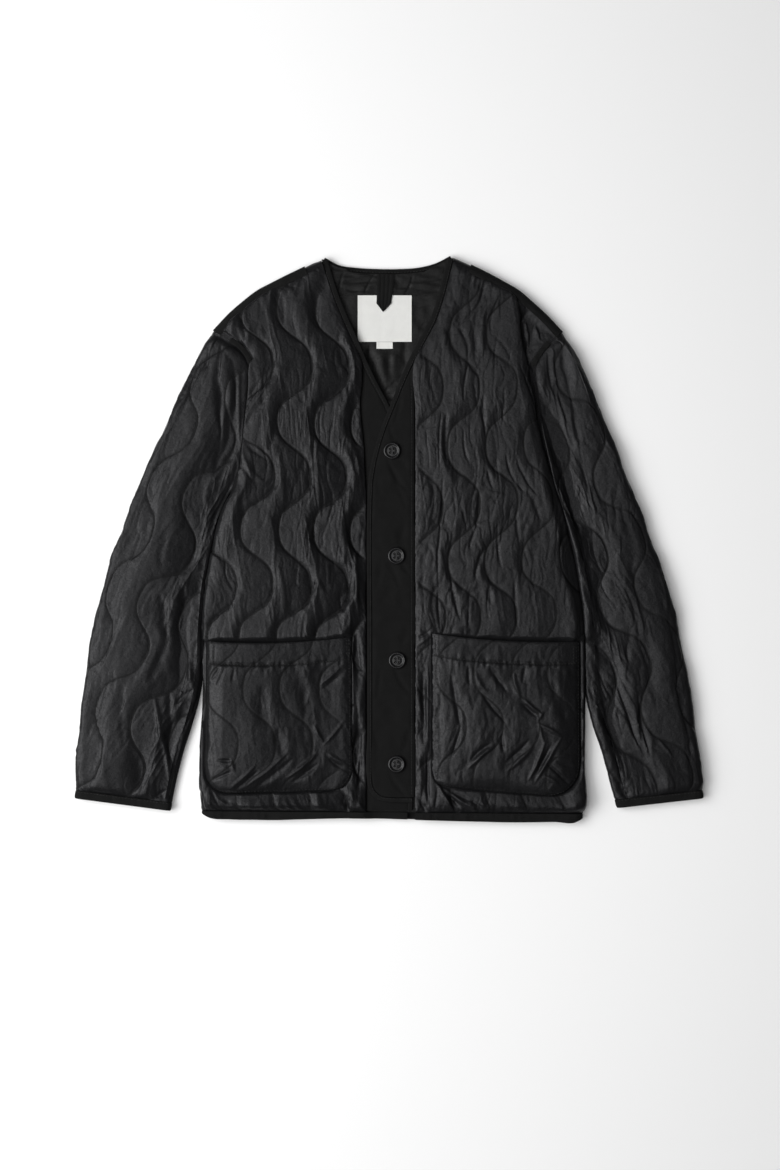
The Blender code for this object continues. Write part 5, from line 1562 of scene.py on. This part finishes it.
def stitched(name, lines, cloths, length=STITCH, gap=STITCH_GAP, sides=5):
    """Stitches along lines of (x, y) on the highest of the cloths: each is a thread that rises from
    the cloth, lies along it and dips in again, every point of it set on the cloth below."""
    points, quads, before = [], [], 0
    for cloth in cloths:
        mesh = cloth.data
        places = np.empty(len(mesh.vertices) * 3)
        mesh.vertices.foreach_get("co", places)
        points.append(places.reshape(-1, 3))
        quads += [[k + before for k in face.vertices] for face in mesh.polygons]
        before += len(mesh.vertices)
    below = BVHTree.FromPolygons(np.vstack(points).tolist(), quads)
    ways = ((-0.5, -0.35, 0.3), (-0.3, 0.18, 1.0), (0.3, 0.18, 1.0), (0.5, -0.35, 0.3))
    rings = []
    for line in lines:
        run = np.concatenate([[0.0], np.cumsum(np.linalg.norm(np.diff(line, axis=0), axis=1))])
        for middle in np.arange(length / 2, run[-1] - length / 4, length + gap):
            middle = middle + 0.12 * np.sin(37.0 * middle)
            stitch = []
            for along, rise, thick in ways:
                x, y = [np.interp(middle + along * length, run, line[:, k]) for k in (0, 1)]
                hit = below.ray_cast(Vector((x * MM, y * MM, 0.1)), Vector((0.0, 0.0, -1.0)))[0]
                if hit is None:
                    break
                stitch.append((x, y, hit.z / MM + rise, thick))
            if len(stitch) < len(ways):
                continue
            stitch = np.array(stitch)
            way = toward(stitch[-1, :2] - stitch[0, :2])
            turn = np.linspace(0.0, 2.0 * np.pi, sides + 1)[:-1]
            beside = np.stack([-way[1] * np.cos(turn), way[0] * np.cos(turn), np.sin(turn)], axis=-1)
            rings.append(stitch[:, None, :3] + THREAD_RADIUS * stitch[:, 3, None, None] * beside)
    index = numbered(len(ways), sides, ring=True)
    single = squares(index) + [index[0, :-1][::-1].tolist(), index[-1, :-1].tolist()]
    each = len(ways) * sides
    faces = [[k + number * each for k in face] for number in range(len(rings)) for face in single]
    piece = made_up(name, np.array(rings).reshape(-1, 3), faces, THREAD, sharp_over=180.0)
    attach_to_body(piece, "root")
    return piece


made = bpy.data.objects
threads = {}
tacks = {-1: [(-216.5, -146.0, -209.0, -125.0), (-50.5, -139.0, -47.5, -121.0)],
         1: [(56.0, -135.0, 59.5, -117.5), (220.5, -147.5, 224.0, -129.0)]}
for side, name in HALVES:
    lines = [pocket_outline(side, 2.6), across_pocket(side, POCKET_HEM)]
    lines += [box_line(*box) for box in tacks[side]]
    threads[f"{name}_pocket"] = stitched(f"{name}_pocket_stitches", lines,
                                         [made[f"{name}_patch_pocket"]])
    bound = bound_edge(side, FRONT_EDGE[:, 4] - 1.5)
    seam_y = np.linspace(-322.0, 186.0, 60)
    beside_seam = np.stack([stand_seam(side, seam_y) - side * 4.2, seam_y], axis=-1)
    lines = [bound, beside_seam] if side > 0 else [bound[bound[:, 1] > 150.0]]
    cloths = [made[f"{name}_edge_tape"], made[f"{name}_button_stand"]]
    threads[f"{name}_front"] = stitched(f"{name}_front_stitches", lines, cloths)
    cuff = cuff_face(side, 0.0)
    band = cuff[0] + (cuff[-1] - cuff[0]) * 0.16
    band = band[np.argsort(band[:, 0])]
    band = band[band[:, 2] > MID + 5.0][:, :2]
    threads[f"{name}_sleeve"] = stitched(f"{name}_cuff_stitches", [band],
                                         [made[f"{name}_cuff_band"]])
neck_line = offset(NECK, -(NECK_TAPE - 1.4))
threads["back"] = stitched("neck_stitches", [spread(neck_line, 60)], [made["neck_binding"]])
reach = HOLE_SPREAD + 0.25
crossed = [np.array([(x - reach, y - way * reach), (x + reach, y + way * reach)])
           for x, y in BUTTONS for way in (1.0, -1.0)]
buttons = [made[f"front_button_{k}"] for k in (1, 2, 3, 4)]
threads["buttons"] = stitched("button_stitches", crossed, buttons,
                              length=2.0 * np.hypot(HOLE_SPREAD, HOLE_SPREAD) + 0.7, gap=9.0)


# ---------------------------------------------------------------- the trims on each front
# Each front's trims are gathered in a list, with the buttons and their stitches on the left one.
on_front = ("button_stand", "edge_tape", "hem_tape", "shoulder_strip", "armhole_strip")
for name in ("right", "left"):
    trims = [made[f"{name}_{k}"] for k in on_front]
    if name == "left":
        trims += buttons + [threads["buttons"]]


# ---------------------------------------------------------------- floor, light and camera
# A plain white floor, which glows a little where it is seen, under two large soft lamps high on the
# wearer's right and a dim pale sky. The camera looks straight down.
FLOOR_REACH, FLOOR_DROP = 6.0, 0.0005
FLOOR_GLOW = 0.1
floor_mesh = bpy.data.meshes.new("floor")
corners = [(x * FLOOR_REACH, y * FLOOR_REACH, -FLOOR_DROP)
           for x, y in ((-1, -1), (1, -1), (1, 1), (-1, 1))]
floor_mesh.from_pydata(corners, [], [(0, 1, 2, 3)])
floor = bpy.data.objects.new("floor", floor_mesh)
bpy.context.scene.collection.objects.link(floor)
paper, tree, shader = new_finish("white_floor")
shader["Base Color"].default_value = (0.8, 0.8, 0.8, 1.0)
shader["Roughness"].default_value = 0.9
shader["Specular IOR Level"].default_value = 0.1
path = node(tree, "LightPath", (-3, 0)).outputs
seen = figured(tree, "MAXIMUM", (-2, 0), path["Is Camera Ray"], path["Is Glossy Ray"])
glow = node(tree, "Emission", (0, 0), Strength=figured(tree, "MULTIPLY", (-1, 0), seen, FLOOR_GLOW))
both = tree.nodes.new("ShaderNodeAddShader")
feed(tree, both.inputs[0], tree.nodes["Principled BSDF"].outputs["BSDF"])
feed(tree, both.inputs[1], glow.outputs["Emission"])
feed(tree, tree.nodes["Material Output"].inputs["Surface"], both.outputs["Shader"])
floor_mesh.materials.append(paper)


def lamp(name, energy, wide, long, place, turn):
    """An area lamp in watts and metres, at a place and turned by degrees about x, y and z."""
    light = bpy.data.lights.new(name, "AREA")
    light.energy = energy
    light.shape = "RECTANGLE"
    light.size, light.size_y = wide, long
    made = bpy.data.objects.new(name, light)
    made.location = place
    made.rotation_euler = np.radians(turn)
    bpy.context.scene.collection.objects.link(made)


lamp("soft_lamp", 74.0, 3.4, 2.9, (-1.42, -0.15, 1.9), (0.0, -32.0, 0.0))
lamp("side_lamp", 52.0, 1.5, 2.2, (-2.1, -0.2, 2.1), (0.0, -45.0, 5.0))
world = bpy.data.worlds.new("pale_sky")
world.use_nodes = True
sky = world.node_tree.nodes["Background"].inputs
sky["Color"].default_value = (1.0, 1.0, 1.0, 1.0)
sky["Strength"].default_value = 0.08
bpy.context.scene.world = world
bpy.context.scene.view_settings.view_transform = "Standard"

camera_data = bpy.data.cameras.new("camera")
camera_data.lens = 76.67
camera = bpy.data.objects.new("camera", camera_data)
camera.location = (0.0012, -0.0552, 3.0)
bpy.context.scene.collection.objects.link(camera)
bpy.context.scene.camera = camera
